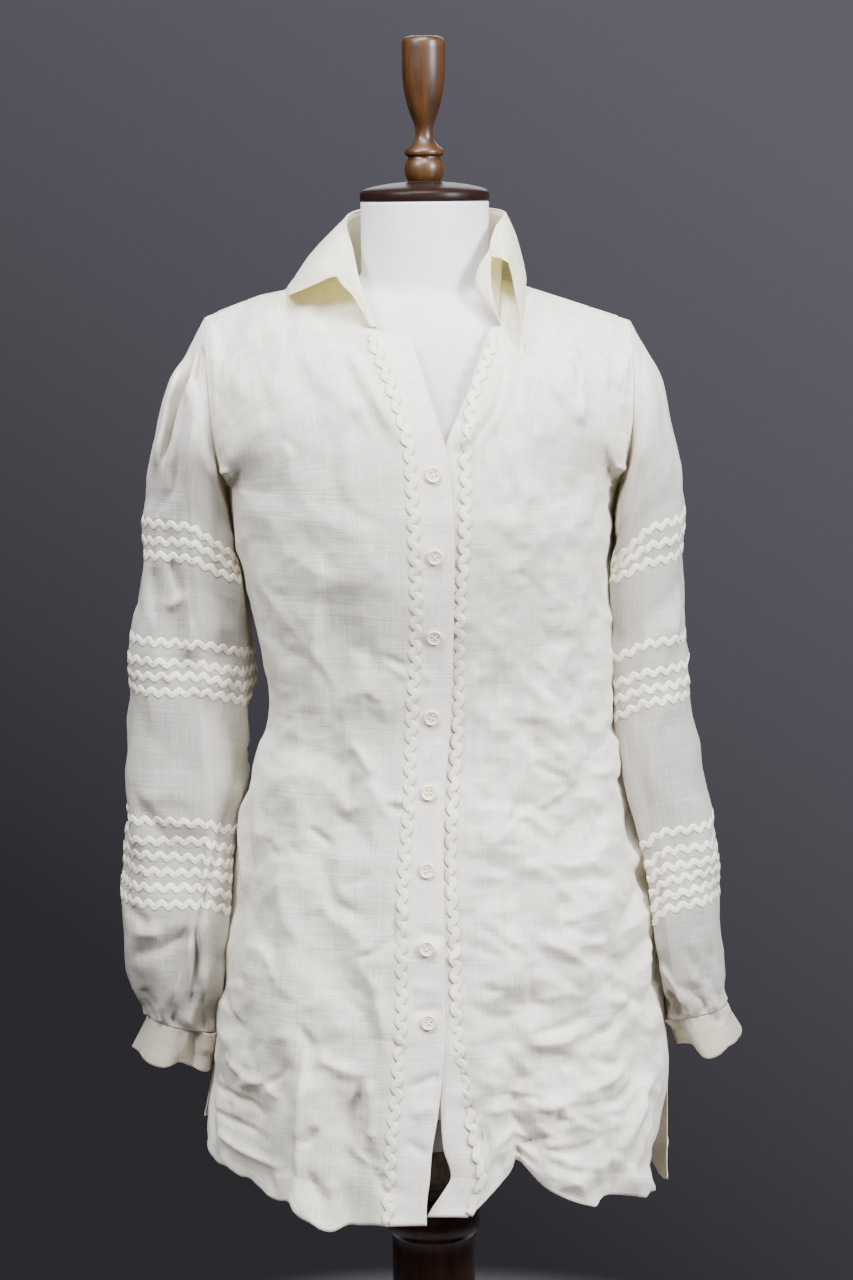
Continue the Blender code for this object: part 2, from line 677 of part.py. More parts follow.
def sleeve(name, armhole, armhole_normals, material):
    """A full sleeve: rings from the armhole to the wrist, pleated and gathered."""
    last = len(SLEEVES[name]) - 1
    places = [last * k / SLEEVE_RINGS for k in range(SLEEVE_RINGS + 1)]
    rings = [sleeve_ring(name, v) for v in places]
    start = armhole - rings[0]
    outer = np.array([ring + start * ease(1 - v / SLEEVE_START) for ring, v in zip(rings, places)])
    closed = np.concatenate([outer[:, -1:], outer, outer[:, :1]], axis=1)
    normals = unit_rows(np.cross(np.gradient(closed, axis=0), np.gradient(closed, axis=1)))[:, 1:-1]
    centres = outer.mean(axis=1, keepdims=True)
    if np.sum(normals * (outer - centres)) < 0:
        normals = -normals
    for k, v in enumerate(places):
        pleat = CAP_PLEAT * math.sin(math.pi * min(v / CAP_ROWS, 1.0))
        gather = WRIST_GATHER * ease(1 - (last - v) / WRIST_ROWS) * ease((last - v) / WRIST_FLAT)
        for i in range(2 * UPPER_ROWS):
            upper = max(-math.cos(math.pi * i / UPPER_ROWS), 0.0) ** 0.5
            wave = 1 if i % 2 else -1
            outer[k, i] += normals[k, i] * wave * (pleat * upper + gather)
    inner = outer - normals * WALL
    for i in range(2 * UPPER_ROWS):
        under = underarm_share(i)
        toward = mix(-armhole_normals[i], np.array([0.0, 0.0, 1.0]), under)
        inner[0, i] = outer[0, i] + unit(toward) * WALL
    wall(f"sleeve_{name}", outer, inner, material, closed=True)
    return outer, normals, places


def underarm_share(i):
    """How much of a turn a place round the armhole makes: 1 at the underarm."""
    return ease(1 - min(i, 2 * UPPER_ROWS - i) / UNDERARM_STEPS)


def armhole_loop(front, front_normals, back, back_normals, back_column):
    """The armhole's edge: up the front from the underarm, down the back."""
    chest = LOWER_ROWS + BODY_ROWS
    points, walls = [], []
    for i in range(2 * UPPER_ROWS):
        if i <= UPPER_ROWS:
            grid, normals, column, row = front, front_normals, -1, chest + i
        else:
            grid, normals, column, row = back, back_normals, back_column, chest + 2 * UPPER_ROWS - i
        point, normal = grid[row, column], normals[row, column]
        before = grid[max(row - 1, 0), column]
        after = grid[min(row + 1, len(grid) - 1), column]
        away = np.cross(normal, after - before)
        inward = grid[row, column + (-1 if column == -1 else 1)] - point
        away = unit(-away if np.dot(away, inward) > 0 else away)
        under = underarm_share(i)
        points.append(point + (away * (1 - under) + normal * under) * SLEEVE_GAP)
        walls.append(normal)
    return np.array(points), np.array(walls)


def cuff(name, sleeve_outer, material):
    """A band gathered onto the sleeve, its two ends lapped at the back."""
    lower = CUFFS[name]
    sign = SIDES[name]["sign"]
    (outer_x, outer_z), (inner_x, inner_z) = lower["outer"], lower["inner"]
    count = 2 * UPPER_ROWS
    start = round(CUFF_END * count)
    dip_at, dip = CUFF_DIP
    outer = np.zeros((CUFF_ROWS, count + CUFF_LAP + 1, 3))
    centre = sleeve_outer[-1].mean(axis=0)
    foot = np.array([sign * (outer_x + inner_x) / 2, lower["middle"], 0.0])
    for k in range(count + CUFF_LAP + 1):
        i = (start + k) % count
        inward = (1 + math.cos(math.pi * i / UPPER_ROWS)) / 2
        ahead = math.sin(math.pi * i / UPPER_ROWS)
        depth = (lower["front"] if ahead > 0 else lower["back"]) * ahead
        x, z = mix(outer_x, inner_x, inward), mix(outer_z, inner_z, inward)
        bottom = np.array([sign * x, lower["middle"] - depth, z])
        top = sleeve_outer[-1, i] - np.array([0.0, 0.0, SLEEVE_GAP])
        away = unit(np.array([top[0] - centre[0], top[1] - centre[1], 0.0]))
        lap = (WALL + SLEEVE_GAP) * ease((k - count + CUFF_LAP) / CUFF_LAP)
        swell = 1 - dip * bump(k - count * dip_at, 1.2)
        for r in range(CUFF_ROWS):
            t = r / (CUFF_ROWS - 1)
            point, middle = mix(top, bottom, t), mix(centre, foot, t)
            point[:2] = middle[:2] + (point[:2] - middle[:2]) * mix(1.0, swell, t)
            outer[r, k] = point + away * lap
    inner = outer.copy()
    for k in range(count + CUFF_LAP + 1):
        away = unit(np.append(outer[1, k, :2] - centre[:2], 0.0))
        inner[:, k] -= away * WALL
    wall(f"cuff_{name}", outer, inner, material)
    return outer


def braid_tube(name, left, ridge, right, material, closed):
    """A ribbon of three long edges: two on the cloth and a ridge between them."""
    count = len(left)
    vertices = list(left) + list(ridge) + list(right)
    rows = [list(range(k * count, (k + 1) * count)) for k in range(3)]
    faces = []
    for k in range(3):
        faces += strip_faces(rows[k], rows[(k + 1) % 3], closed, False)
    if not closed:
        faces.append([rows[0][0], rows[1][0], rows[2][0]])
        faces.append([rows[2][-1], rows[1][-1], rows[0][-1]])
    side = np.cross(left[1] - left[0], ridge[0] - left[0])
    centre = (left[0] + right[0] + ridge[0]) / 3
    if np.dot(side, left[0] - centre) < 0:
        faces = [face[::-1] for face in faces]
    return add_object(name, vertices, faces, material)


def front_braid(name, grid, normals, material):
    """The wavy braid along the seam between a front and its band."""
    chest = LOWER_ROWS + BODY_ROWS
    rows = chest + 1 + NECK_ROW
    seam = grid[:rows, 0]
    across = unit_rows(grid[:rows, 1] - grid[:rows, 0])
    lengths = np.concatenate([[0], np.cumsum(np.linalg.norm(np.diff(seam, axis=0), axis=1))])
    start, end = BRAID_ENDS[0], lengths[-1] - BRAID_ENDS[1]
    waves = int((end - start) / BRAID_WAVE)
    stops = np.linspace(start, end, 2 * waves + 1)

    def at(table, length):
        return np.array([np.interp(length, lengths, table[:, k]) for k in range(3)])

    left, ridge, right = [], [], []
    for k, length in enumerate(stops):
        swing = BRAID_SWING * (1 if k % 2 else -1)
        point = at(seam, length)
        side = unit(at(across, length))
        normal = unit(at(normals[:rows, 0], length))
        middle = point + side * swing + normal * BRAID_LIFT
        left.append(middle - side * BRAID_HALF)
        right.append(middle + side * BRAID_HALF)
        ridge.append(middle + normal * BRAID_HEIGHT)
    braid_tube(f"braid_front_{name}", left, ridge, right, material, False)


def sleeve_braid(name, number, height, outer, normals, places, material):
    """A row of braid round the sleeve, on the straight lines between its rings."""
    heights = [sleeve_row(name, v)[1] for v in places]
    half = BRAID_HALF + BRAID_SWING / 3

    def loop(z, lift):
        k = max(i for i in range(len(heights) - 1) if heights[i] >= z)
        t = (heights[k] - z) / (heights[k] - heights[k + 1])
        base = mix(outer[k], outer[k + 1], t)
        away = unit_rows(mix(normals[k], normals[k + 1], t))
        return base + away * lift

    braid_tube(
        f"braid_sleeve_{name}_{number:02d}",
        loop(height + half, BRAID_LIFT),
        loop(height, BRAID_LIFT + BRAID_HEIGHT),
        loop(height - half, BRAID_LIFT),
        material,
        True,
    )


def neckline(fronts, back, back_normals):
    """The neck edge from the right front end round the back to the left front end."""
    chest = LOWER_ROWS + BODY_ROWS
    points, normals = [], []
    for row in range(NECK_ROW, UPPER_ROWS):
        points.append(fronts["right"][0][chest + row, 0])
        normals.append(fronts["right"][1][chest + row, 0])
    half = BACK_HALF_COLUMNS
    for column in range(half - BACK_NECK_COLUMN, half + BACK_NECK_COLUMN + 1):
        points.append(back[-1, column])
        normals.append(back_normals[-1, column])
    for row in range(UPPER_ROWS - 1, NECK_ROW - 1, -1):
        points.append(fronts["left"][0][chest + row, 0])
        normals.append(fronts["left"][1][chest + row, 0])
    return np.array(points), np.array(normals)


def collar(fronts, back, back_normals, material):
    """The stand round the neck and the leaf that folds over it."""
    seam, normals = neckline(fronts, back, back_normals)
    front_steps = UPPER_ROWS - NECK_ROW
    places = [k / front_steps for k in range(front_steps)]
    places += [1 + k / (2 * BACK_NECK_COLUMN) for k in range(2 * BACK_NECK_COLUMN)]
    places += [2 + k / front_steps for k in range(front_steps + 1)]

    def column(place, first):
        return np.array([read(COLLAR, place, first + k) for k in range(3)])

    fold = np.array([column(p, 1) for p in places])
    middle = np.array([column(p, 4) for p in places])
    edge = np.array([column(p, 7) for p in places])
    bottom = seam + np.array([0.0, 0.0, SLEEVE_GAP])
    stand = np.stack([mix(bottom, fold, t) for t in (0.0, 0.5, 1.0)])
    outward = grid_normals(stand, INSIDE_NECK)
    inner = stand - outward * WALL
    inner[0] = stand[0] - unit_rows(normals + outward[0]) * WALL
    wall("collar_stand", stand, inner, material)
    leaf_top = fold + outward[-1] * (WALL + SLEEVE_GAP) + np.array([0.0, 0.0, SLEEVE_GAP])
    rows = []
    for k in range(COLLAR_ROWS + 1):
        t = k / COLLAR_ROWS
        bend = (2 * t - 1) * (t - 1), 4 * t * (1 - t), t * (2 * t - 1)
        rows.append(leaf_top * bend[0] + middle * bend[1] + edge * bend[2])
    leaf = np.array(rows)
    leaf_out = grid_normals(leaf, INSIDE_LEAF)
    wall("collar_leaf", leaf, leaf - leaf_out * WALL, material)


def button(name, centre, normal, material):
    """A round button with a raised rim, lying on the cloth."""
    normal = unit(normal)
    side = unit(np.cross(normal, np.array([0.0, 0.0, 1.0])))
    up = np.cross(normal, side)
    vertices = []
    for rise, share in BUTTON_PROFILE:
        for i in range(BUTTON_SIDES):
            angle = 2 * math.pi * i / BUTTON_SIDES
            spoke = side * math.cos(angle) + up * math.sin(angle)
            lift = BUTTON_GAP + BUTTON_HEIGHT * rise
            vertices.append(centre + normal * lift + spoke * BUTTON_RADIUS * share)
    faces = stacked_faces(len(BUTTON_PROFILE), BUTTON_SIDES)
    return add_object(name, vertices, faces, material)


def front_buttons(band, facing, material):
    middle = band[:, 1]
    for number, (x, z) in enumerate(BUTTONS, 1):
        def at(table):
            return np.array([np.interp(z, middle[:, 2], table[:, k]) for k in range(3)])

        seam, edge = at(band[:, 0]), at(band[:, 2])
        share = (x - seam[0]) / (edge[0] - seam[0])
        button(f"button_front_{number}", mix(seam, edge, share), at(facing), material)


def cuff_button(name, outer, material):
    """The button that holds a cuff's lapped ends."""
    count = 2 * UPPER_ROWS
    centre = (outer[1, count] + outer[1, count + 1]) / 2
    along = outer[1, count + 1] - outer[1, count]
    down = outer[2, count] - outer[0, count]
    normal = np.cross(along, down)
    if np.dot(normal, centre - outer[1].mean(axis=0)) < 0:
        normal = -normal
    button(f"button_cuff_{name}", centre, normal, material)


# ---------------------------------------------------------------- the dress form


def form_depth(x, z, front):
    """How far the form reaches forwards or back, at a place seen from the front."""
    inset = read(FORM_INSET, z)
    roundness = FORM_FRONT_ROUND if front else FORM_BACK_ROUND
    return abs(shell_y(x, z, front, inset, FORM_SHOULDER_INSET, roundness))


def form_radius(angle, z):
    """How far the form reaches from its axis in one direction at a height."""
    across, ahead = math.cos(angle), math.sin(angle)
    low, high = 0.0, FORM_REACH
    for _ in range(HALVINGS):
        reach = (low + high) / 2
        if abs(ahead) * reach < form_depth(across * reach, z, ahead < 0):
            low = reach
        else:
            high = reach
    return max(low, NECK_RADIUS) if z > NECK_FOOT else low


def form_torso(material):
    vertices = []
    for z in FORM_RINGS:
        for i in range(FORM_SIDES):
            angle = 2 * math.pi * i / FORM_SIDES
            reach = form_radius(angle, z)
            vertices.append((reach * math.cos(angle), reach * math.sin(angle), z))
    return add_object("form_torso", vertices, stacked_faces(len(FORM_RINGS), FORM_SIDES), material)


# ---------------------------------------------------------------- building


def make_material(name):
    colour, roughness = COLOURS[name]
    material = bpy.data.materials.new(name)
    material.use_nodes = True
    shader = material.node_tree.nodes["Principled BSDF"]
    shader.inputs["Base Color"].default_value = (*colour, 1.0)
    shader.inputs["Roughness"].default_value = roughness
    shader.inputs["Metallic"].default_value = 0.0
    return material


def build():
    for old in list(bpy.data.objects):
        bpy.data.objects.remove(old, do_unlink=True)
    materials = {name: make_material(name) for name in COLOURS}
    linen = materials["linen"]

    fronts = {name: front_panel(name) for name in SIDES}
    for name, (grid, normals) in fronts.items():
        wall(f"front_{name}", grid, grid - normals * WALL, linen)
    back, back_normals = back_panel()
    wall("back", back, back - back_normals * WALL, linen)

    for name, (grid, normals) in fronts.items():
        band, facing = placket(name, grid, normals, linen)
        if name == "right":
            front_buttons(band, facing, materials["shell_button"])
        front_braid(name, grid, normals, materials["braid"])

    collar(fronts, back, back_normals, linen)

    for name, (grid, normals) in fronts.items():
        back_column = 0 if name == "right" else -1
        loop, walls = armhole_loop(grid, normals, back, back_normals, back_column)
        outer, ring_normals, places = sleeve(name, loop, walls, linen)
        band = cuff(name, outer, linen)
        cuff_button(name, band, materials["shell_button"])
        for number, height in enumerate(SLEEVE_BRAIDS[name], 1):
            sleeve_braid(name, number, height, outer, ring_normals, places, materials["braid"])

    form_torso(materials["form_cover"])
    turned("neck_cap", NECK_CAP, materials["dark_wood"], sides=24)
    turned("finial", FINIAL, materials["turned_wood"])
    turned("pole", POLE, materials["pole_metal"])
    turned("pole_foot", POLE_FOOT, materials["turned_wood"])
    turned("column", COLUMN, materials["turned_wood"])
    turned("foot", FOOT, materials["turned_wood"], sides=32)


build()
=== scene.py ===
"""The looks of a buttoned linen tunic top on a limbless dress form.

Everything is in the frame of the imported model: +X is the wearer's left, -Y the
front, +Z up. Sizes below are in millimetres and meshes in metres. Each cloth
piece is a thin shell over the form of its own solid, with its creases laid in.
"""

import math

import bpy
import numpy as np
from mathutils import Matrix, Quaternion, Vector
from mathutils.geometry import delaunay_2d_cdt


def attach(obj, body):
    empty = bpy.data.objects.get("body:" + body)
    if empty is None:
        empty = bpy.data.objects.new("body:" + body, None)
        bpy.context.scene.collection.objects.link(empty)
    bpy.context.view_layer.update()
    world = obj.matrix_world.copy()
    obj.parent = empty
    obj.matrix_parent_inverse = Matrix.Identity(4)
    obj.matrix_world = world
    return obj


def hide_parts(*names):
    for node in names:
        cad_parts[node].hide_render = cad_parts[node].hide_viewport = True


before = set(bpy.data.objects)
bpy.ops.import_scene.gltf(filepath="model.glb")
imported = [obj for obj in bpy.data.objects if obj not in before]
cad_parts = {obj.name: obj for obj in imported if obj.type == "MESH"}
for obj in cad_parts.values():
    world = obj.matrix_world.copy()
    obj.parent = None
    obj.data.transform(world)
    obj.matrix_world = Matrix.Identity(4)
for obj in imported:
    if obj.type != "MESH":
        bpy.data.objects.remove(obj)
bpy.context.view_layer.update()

MM = 0.001

# ---- sizes of the tunic

CLOTH = 0.7           # thickness of the linen
BAND_CLOTH = 1.2      # thickness of the bands, which have more layers
SEAM = 0.3            # gap between two sewn pieces
SOLID_WALL = 1.5      # thickness of the solids' cloth, which what lies over it clears
SLEEVE_GAP = 0.5      # gap between a sleeve and its armhole, and round cuffs and collar
LAP = 4.2             # how far the buttoned front stands out over the other one
LAP_FADE = 65.0       # how far from the band that dies away
CHEST = 845.0         # height of the underarm points
CROWN_GROWTH = 34.0   # how much broader the shell grows above the chest
CROWN_RISE = 90.0     # height over which the form grows so
ARMHOLE_PULL = (0.13, 0.70)   # share of a panel that turns in to the armhole, low and high
PULL_STEPS = 5.5      # steps above the chest from the low share to the high one
CHEST_SPREAD = 45.0   # how much broader than that the cloth lies above the chest
SPREAD_RISE = 105.0   # height over which the cloth grows so
FRONT_ROUND = 1.9     # how square the shoulders are from the side: 2 is round
BACK_ROUND = 2.5
SLIT_TOP = 337.0      # the side slits' height
SLIT_REACH = 100.0
SLIT_SPREAD = 5.0     # how far a slit's edges part, and how far its back one flares out
SLIT_FLARE = 8.0
HEM_DEPTH = 9.0       # depth of the turned hem
HEM_STITCH = HEM_DEPTH - 1.5    # height of its stitches above its edge
HEM_GROOVE = 0.4      # how far they sink in
HEM_STEP = 0.45       # how far its double cloth stands out

UPPER_STEPS = 9       # steps from the chest to the shoulder, as the neckline counts them
NECK_STEP = 5         # the step at which the neckline starts
FINE = 8              # grid rows in one such step
LOWER_ROWS = 44       # grid rows below the slits' top
BODY_ROWS = 208       # from there to the chest
FRONT_COLUMNS = 72
BACK_HALF_COLUMNS = 64
BACK_NECK_SHARE = 3 / 8
SLEEVE_ROWS = 208
BAND_COLUMNS = 16
BAND_WIDTH = 32.0
BAND_STITCHES = (0.05, 0.93)    # where across a band its stitches run
CHEST_ROW = LOWER_ROWS + BODY_ROWS
NECK_ROW = CHEST_ROW + NECK_STEP * FINE
UPPER = np.arange(1, UPPER_STEPS * FINE + 1)[:, None] / FINE    # the steps of the rows above the chest
STEP_OF_ROW = np.concatenate([np.zeros(CHEST_ROW + 1), UPPER[:, 0]])[:, None]
AROUND = np.arange(2 * UPPER_STEPS * FINE) / FINE   # places round an armhole, in steps
# points inside the body, the neck and the collar's leaf, which their cloth faces away from
INSIDE = np.array([0.0, 0.0, 600.0])
INSIDE_NECK = np.array([0.0, 0.0, 1040.0])
INSIDE_LEAF = np.array([0.0, 0.0, 840.0])

# the shell of the body: a superellipse at each height
BODY = [
    # height, right, left, front, back, power
    (210, 204, 215, 146, 150, 2.2),
    (280, 200, 214, 143, 150, 2.2),
    (340, 192, 211, 139, 149, 2.2),
    (420, 181, 198, 134, 145, 2.2),
    (500, 174, 187, 126, 136, 2.2),
    (560, 166, 177, 118, 122, 2.2),
    (600, 156, 168, 113, 110, 2.3),
    (640, 148, 163, 110, 101, 2.3),
    (700, 153, 161, 117, 100, 2.3),
    (770, 162, 160, 133, 106, 2.2),
    (825, 170, 163, 140, 111, 2.2),
    (845, 172, 165, 139, 112, 2.2),
]

# each side's shoulder tip and neck point, the top of its band's seam, and the
# columns of the closure's table that hold its seam and its free edge
SIDES = {
    "right": dict(sign=-1, tip=(190.0, 985.0), neck=(71.25, 1024.0), band_top=982.0, seam=1, edge=2),
    "left": dict(sign=1, tip=(176.0, 985.0), neck=(66.0, 1021.0), band_top=984.0, seam=3, edge=4),
}
ARMHOLE_FRONT = 62.0  # how far an armhole reaches to the front and the back
ARMHOLE_BACK = 56.0
UNDERARM_STEPS = 3.5  # steps round an armhole over which the sleeve turns below it
# how far the cloth swells up over the right shoulder, by the distance from the middle
SHOULDER_SWELL = [(0, 0), (66, 3), (90, 3.5), (114, 4.5), (142, 8), (164, 7.5), (190, 6)]
SWELL_FOOT = 925.0    # the height at which it starts
# how far out each side moves, by height: in at the right of the waist, out at the left hip
SIDE_MOVES = {
    "right": [(520, 0), (585, -5), (616, -6), (640, -10), (670, -9), (700, -7), (745, -4), (800, 0)],
    "left": [(337, -2), (380, 2), (420, 6), (460, 7), (500, 8), (540, 7), (590, 3), (630, 0)],
}
# how far the left side's lower corners move, in front and behind, by height
CORNER_FRONT = [(229, -35), (247, -24), (266, -14), (291, -7), (323, -2), (337, 0)]
CORNER_BACK = [(229, -10), (237, -10), (337, 0)]
BACK_NECK_HEIGHT = 1012.0

ARMHOLE = [
    # rise, right, left
    (0.00, 172, 165),
    (0.10, 177, 170),
    (0.30, 181, 174),
    (0.60, 185, 176),
    (1.00, 190, 176),
]

CLOSURE = [
    # height, right seam, right edge, left seam, left edge, left edge drop
    (229, -38, -6, 28, -7, 4),
    (239, -38, -6, 32, -1, 5),
    (252, -37, -5, 38, 8, 5),
    (266, -36, -3, 41, 15, 5),
    (290, -35, -1, 36, 9, 3),
    (325, -32, 5, 30, 7, 1),
    (363, -29, 9, 25, 8, 0),
    (385, -27, 11, 22, 4, 0),
    (405, -26, 11, 21, -9, 0),
    (460, -24, 11, 19, -13, 0),
    (522, -23, 11, 17, -14, 0),
    (590, -18, 12, 20, -11, 0),
    (655, -14, 18, 23, -8, 0),
    (737, -11, 21, 26, -5, 0),
    (800, -11, 22, 30, -2, 0),
    (850, -12, 20, 31, 3, 1),
    (888, -15, 15, 32, 15, 4),
    (930, -28, 2, 40, 33, 8),
    (965, -42, -9, 54, 46, 9),
    (990, -58, -17, 66, 57, 8),
]

# the hem's height along each panel, from the front seam (0) to the side (1)
HEMS = {
    "right": [
        (0.0, 226), (0.04, 226), (0.09, 223), (0.13, 222), (0.17, 217), (0.20, 219), (0.23, 225),
        (0.27, 230), (0.293, 235), (0.307, 242), (0.36, 240), (0.42, 241), (0.48, 246), (0.53, 251),
        (0.58, 251), (0.66, 256), (0.76, 254), (0.84, 257), (0.90, 263), (1.0, 272),
    ],
    "left": [
        (0.0, 231), (0.02, 239), (0.035, 250), (0.06, 260), (0.09, 267), (0.115, 277), (0.135, 270),
        (0.16, 261), (0.19, 254), (0.23, 248), (0.29, 241), (0.34, 236), (0.40, 231), (0.435, 237),
        (0.52, 235), (0.60, 231), (0.68, 233), (0.78, 229), (0.88, 232), (1.0, 229),
    ],
}
HEM_BACK = [(-1.0, 280), (-0.6, 252), (0.0, 240), (0.6, 228), (0.86, 213), (0.94, 213), (1.0, 217)]

FOLD_FOOT = 235.0     # the height at which the hem's folds are deepest
FRONT_FOLDS = [
    # x at hem, x at top, top height, half width, height outwards
    (-172, -158, 470, 22, -5),
    (-112, -104, 520, 20, 9),
    (-66, -60, 460, 17, -7),
    (50, 46, 480, 17, 6),
    (76, 72, 430, 13, -15),
    (112, 96, 500, 22, 9),
    (150, 140, 470, 17, -6),
    (172, 163, 430, 13, 3),
]
BACK_FOLDS = [
    (-165, -150, 520, 22, 8),
    (-118, -104, 480, 20, -7),
    (-62, -52, 560, 24, 9),
    (-8, -6, 450, 18, -6),
    (44, 38, 540, 22, 8),
    (96, 84, 470, 20, -8),
    (148, 130, 520, 22, 7),
]
# fishbone darts: soft troughs through the waist
FRONT_DARTS = [
    # x at bottom, x at top, bottom height, top height, half width, depth
    (-87, -81, 500, 780, 15, 5),
    (59, 85, 470, 800, 15, 6),
]
BACK_DARTS = [
    (-78, -78, 500, 790, 16, 6),
    (74, 74, 500, 790, 16, 6),
]

SLEEVES = {
    "right": [
        # outer x, outer z, inner x, inner z, front, back, middle
        (190, 985, 172, 845, 62, 56, 0),
        (206, 962, 175, 838, 60, 56, 0),
        (224, 930, 176, 826, 58, 56, 1),
        (237, 888, 176, 811, 57, 56, 2),
        (247, 848, 175, 795, 56, 56, 4),
        (250, 808, 173, 776, 55, 56, 6),
        (253, 768, 169, 748, 54, 56, 8),
        (259, 722, 165, 707, 53, 56, 10),
        (264, 660, 159, 647, 53, 57, 12),
        (268, 595, 164, 582, 54, 58, 13),
        (270, 535, 176, 522, 55, 59, 14),
        (272, 478, 184, 465, 54, 58, 14),
        (275, 430, 189, 418, 50, 54, 13),
        (270, 400, 191, 392, 43, 47, 11),
        (258, 383, 193, 376, 36, 39, 9),
        (252, 373, 194, 360, 32, 34, 8),
    ],
    "left": [
        (176, 985, 165, 845, 62, 56, 0),
        (189, 963, 168, 838, 61, 57, 0),
        (203, 938, 170, 827, 60, 58, 1),
        (211, 903, 171, 812, 60, 59, 2),
        (221, 862, 171, 797, 60, 60, 4),
        (224, 820, 170, 780, 60, 61, 6),
        (224, 775, 168, 755, 60, 62, 8),
        (226, 715, 168, 697, 60, 63, 10),
        (229, 655, 170, 637, 60, 64, 12),
        (239, 597, 180, 577, 61, 65, 13),
        (251, 540, 191, 518, 61, 65, 14),
        (257, 485, 200, 463, 59, 63, 14),
        (260, 435, 207, 414, 54, 58, 13),
        (263, 403, 209, 391, 46, 50, 11),
        (263, 390, 210, 380, 38, 41, 9),
        (262, 380, 209, 368, 33, 35, 8),
    ],
}
SLEEVE_POWER = 2.3
# the front half of a sleeve that hangs flat: steps round it, share of the way from its
# ridge to its inner or outer side, share of its depth high up and low down
INNER_FACE = {
    "right": [
        (0, 1.0, 0.0, 0.0), (1, 0.97, 0.36, 0.34), (2, 0.82, 0.65, 0.63), (3, 0.48, 0.87, 0.86),
        (4, 0, 1.02, 1.06),
    ],
    "left": [
        (0, 1.0, 0.0, 0.0), (1, 1.02, 0.40, 0.46), (2, 1.0, 0.70, 0.76), (3, 0.72, 0.88, 0.93),
        (4, 0, 1.02, 1.06),
    ],
}
OUTER_FACE = [
    (4, 0.0, 1.02, 1.06), (5, 0.23, 0.96, 1.02), (6, 0.47, 0.87, 0.97), (7, 0.72, 0.74, 0.87),
    (8, 0.92, 0.50, 0.60), (9, 1.0, 0.0, 0.0),
]
RIDGE_STEP = 4
# how far in the ridge lies, and how high the section is the low one, by the sleeve's rows
RIDGE_PLACE = [(0, 0.55, 0), (5, 0.55, 0), (8, 0.64, 0.4), (11, 0.79, 1), (13, 0.85, 1), (15, 0.85, 1)]
FLAT_DROP = {"right": 0.05, "left": 0.25}   # share of a ring's fall before its ridge
FULLNESS = 7.0        # how much fuller the front of a sleeve is below its cap
# how far a sleeve's inner side leans in against the body, at each height
SLEEVE_LEAN = {
    "right": [
        (350, 7), (440, 9), (520, 8), (575, 4), (600, 0), (650, 0), (680, 7), (760, 11), (820, 8),
        (845, 0),
    ],
    "left": [
        (360, 2), (388, 6), (440, 10), (520, 9), (600, 9), (650, 9), (760, 10), (820, 8), (845, 0),
    ],
}
SLEEVE_START = 2.5    # rows of the table over which a sleeve leaves its armhole
CAP_PLEAT = 2.4       # depth of the cap's pleats, and the rows that they run over
CAP_ROWS = 4.5
WRIST_GATHER = 3.0    # depth of the wrist's gathers, their rows, and the flat rows below
WRIST_ROWS = 3.0
WRIST_FLAT = 0.6
WRIST_FINE = 27       # number of small gathers round a wrist
FINE_GATHER = 1.1     # their depth and rows
FINE_GATHER_ROWS = 1.7
TOUCH = 1.3           # gap between a sleeve and the body it hangs against
MARK_WAY = np.array([0.2, 1.0, 0.3])    # a sleeve's front creases sink mostly backwards

CUFFS = {
    "right": dict(outer=(269, 342), inner=(197, 327), front=36, back=37, middle=8),
    "left": dict(outer=(279, 355), inner=(218, 342), front=36, back=38, middle=8),
}
CUFF_WAVES = {
    # waves of the lower edge: step round it, half width in steps, up, outwards
    "right": [(7.3, 0.8, 4, -3.5), (5.9, 0.9, -3, 4.5), (9.6, 1.2, -2.5, 2), (12, 1, 1, -1.5)],
    "left": [(6, 1, 3, -3), (8.2, 0.9, -10, 4), (10.3, 1, -5, 1), (12.4, 1, -6, -2.5)],
}
CUFF_START = 14       # the step round the wrist at which a cuff starts
CUFF_LAP = 2          # steps over which its ends lap
CUFF_DIP = (0.62, 0.10)     # where round it its edge dips inwards, and by what share
CUFF_HEIGHT = 36.0
CUFF_STITCHES = (0.07, 0.94)    # where down a cuff its stitches run
CUFF_ROWS = 18
CUFF_PUCKER = 0.5     # height of the small puckers under its seam

SLEEVE_BRAIDS = {
    "right": [816, 801, 787, 713, 695, 683, 670, 555, 538, 524, 511, 497, 483],
    "left": [818, 802, 786, 713, 689, 675, 662, 548, 531, 518, 506, 494, 482],
}
BRAID_WAVE = 12.5     # a wave of the braid round the sleeves
FRONT_WAVE = 14.2
SLEEVE_RIBBON = dict(half=2.8, swing=2.7)   # half width, and half the height of its waves
FRONT_RIBBON = dict(half=3.7, swing=2.1)
BRAID_HEIGHT = 0.5
BRAID_ENDS = (3.0, 14.0)    # where a front braid stops short of the hem and neck
WAVE_POINTS = 12
ZIGZAG = 0.99         # how near to a zigzag its wave is: 0 for a sine, 1 for a zigzag
SLEEVE_DRIFT = (0.8, 3)     # how far a row strays from its line, and how often round the sleeve
FRONT_DRIFT = (0.7, 31.0)   # the same down a front, and over what length
FRONT_LIFT = 0.4      # a front's braid lies so far off its seam
RIBBON = [
    # place across, height, as shares of the half width and the height
    (-1.0, 0.05), (-0.72, 0.9), (0.0, 1.1), (0.72, 0.9), (1.0, 0.05), (0.0, -0.4),
]

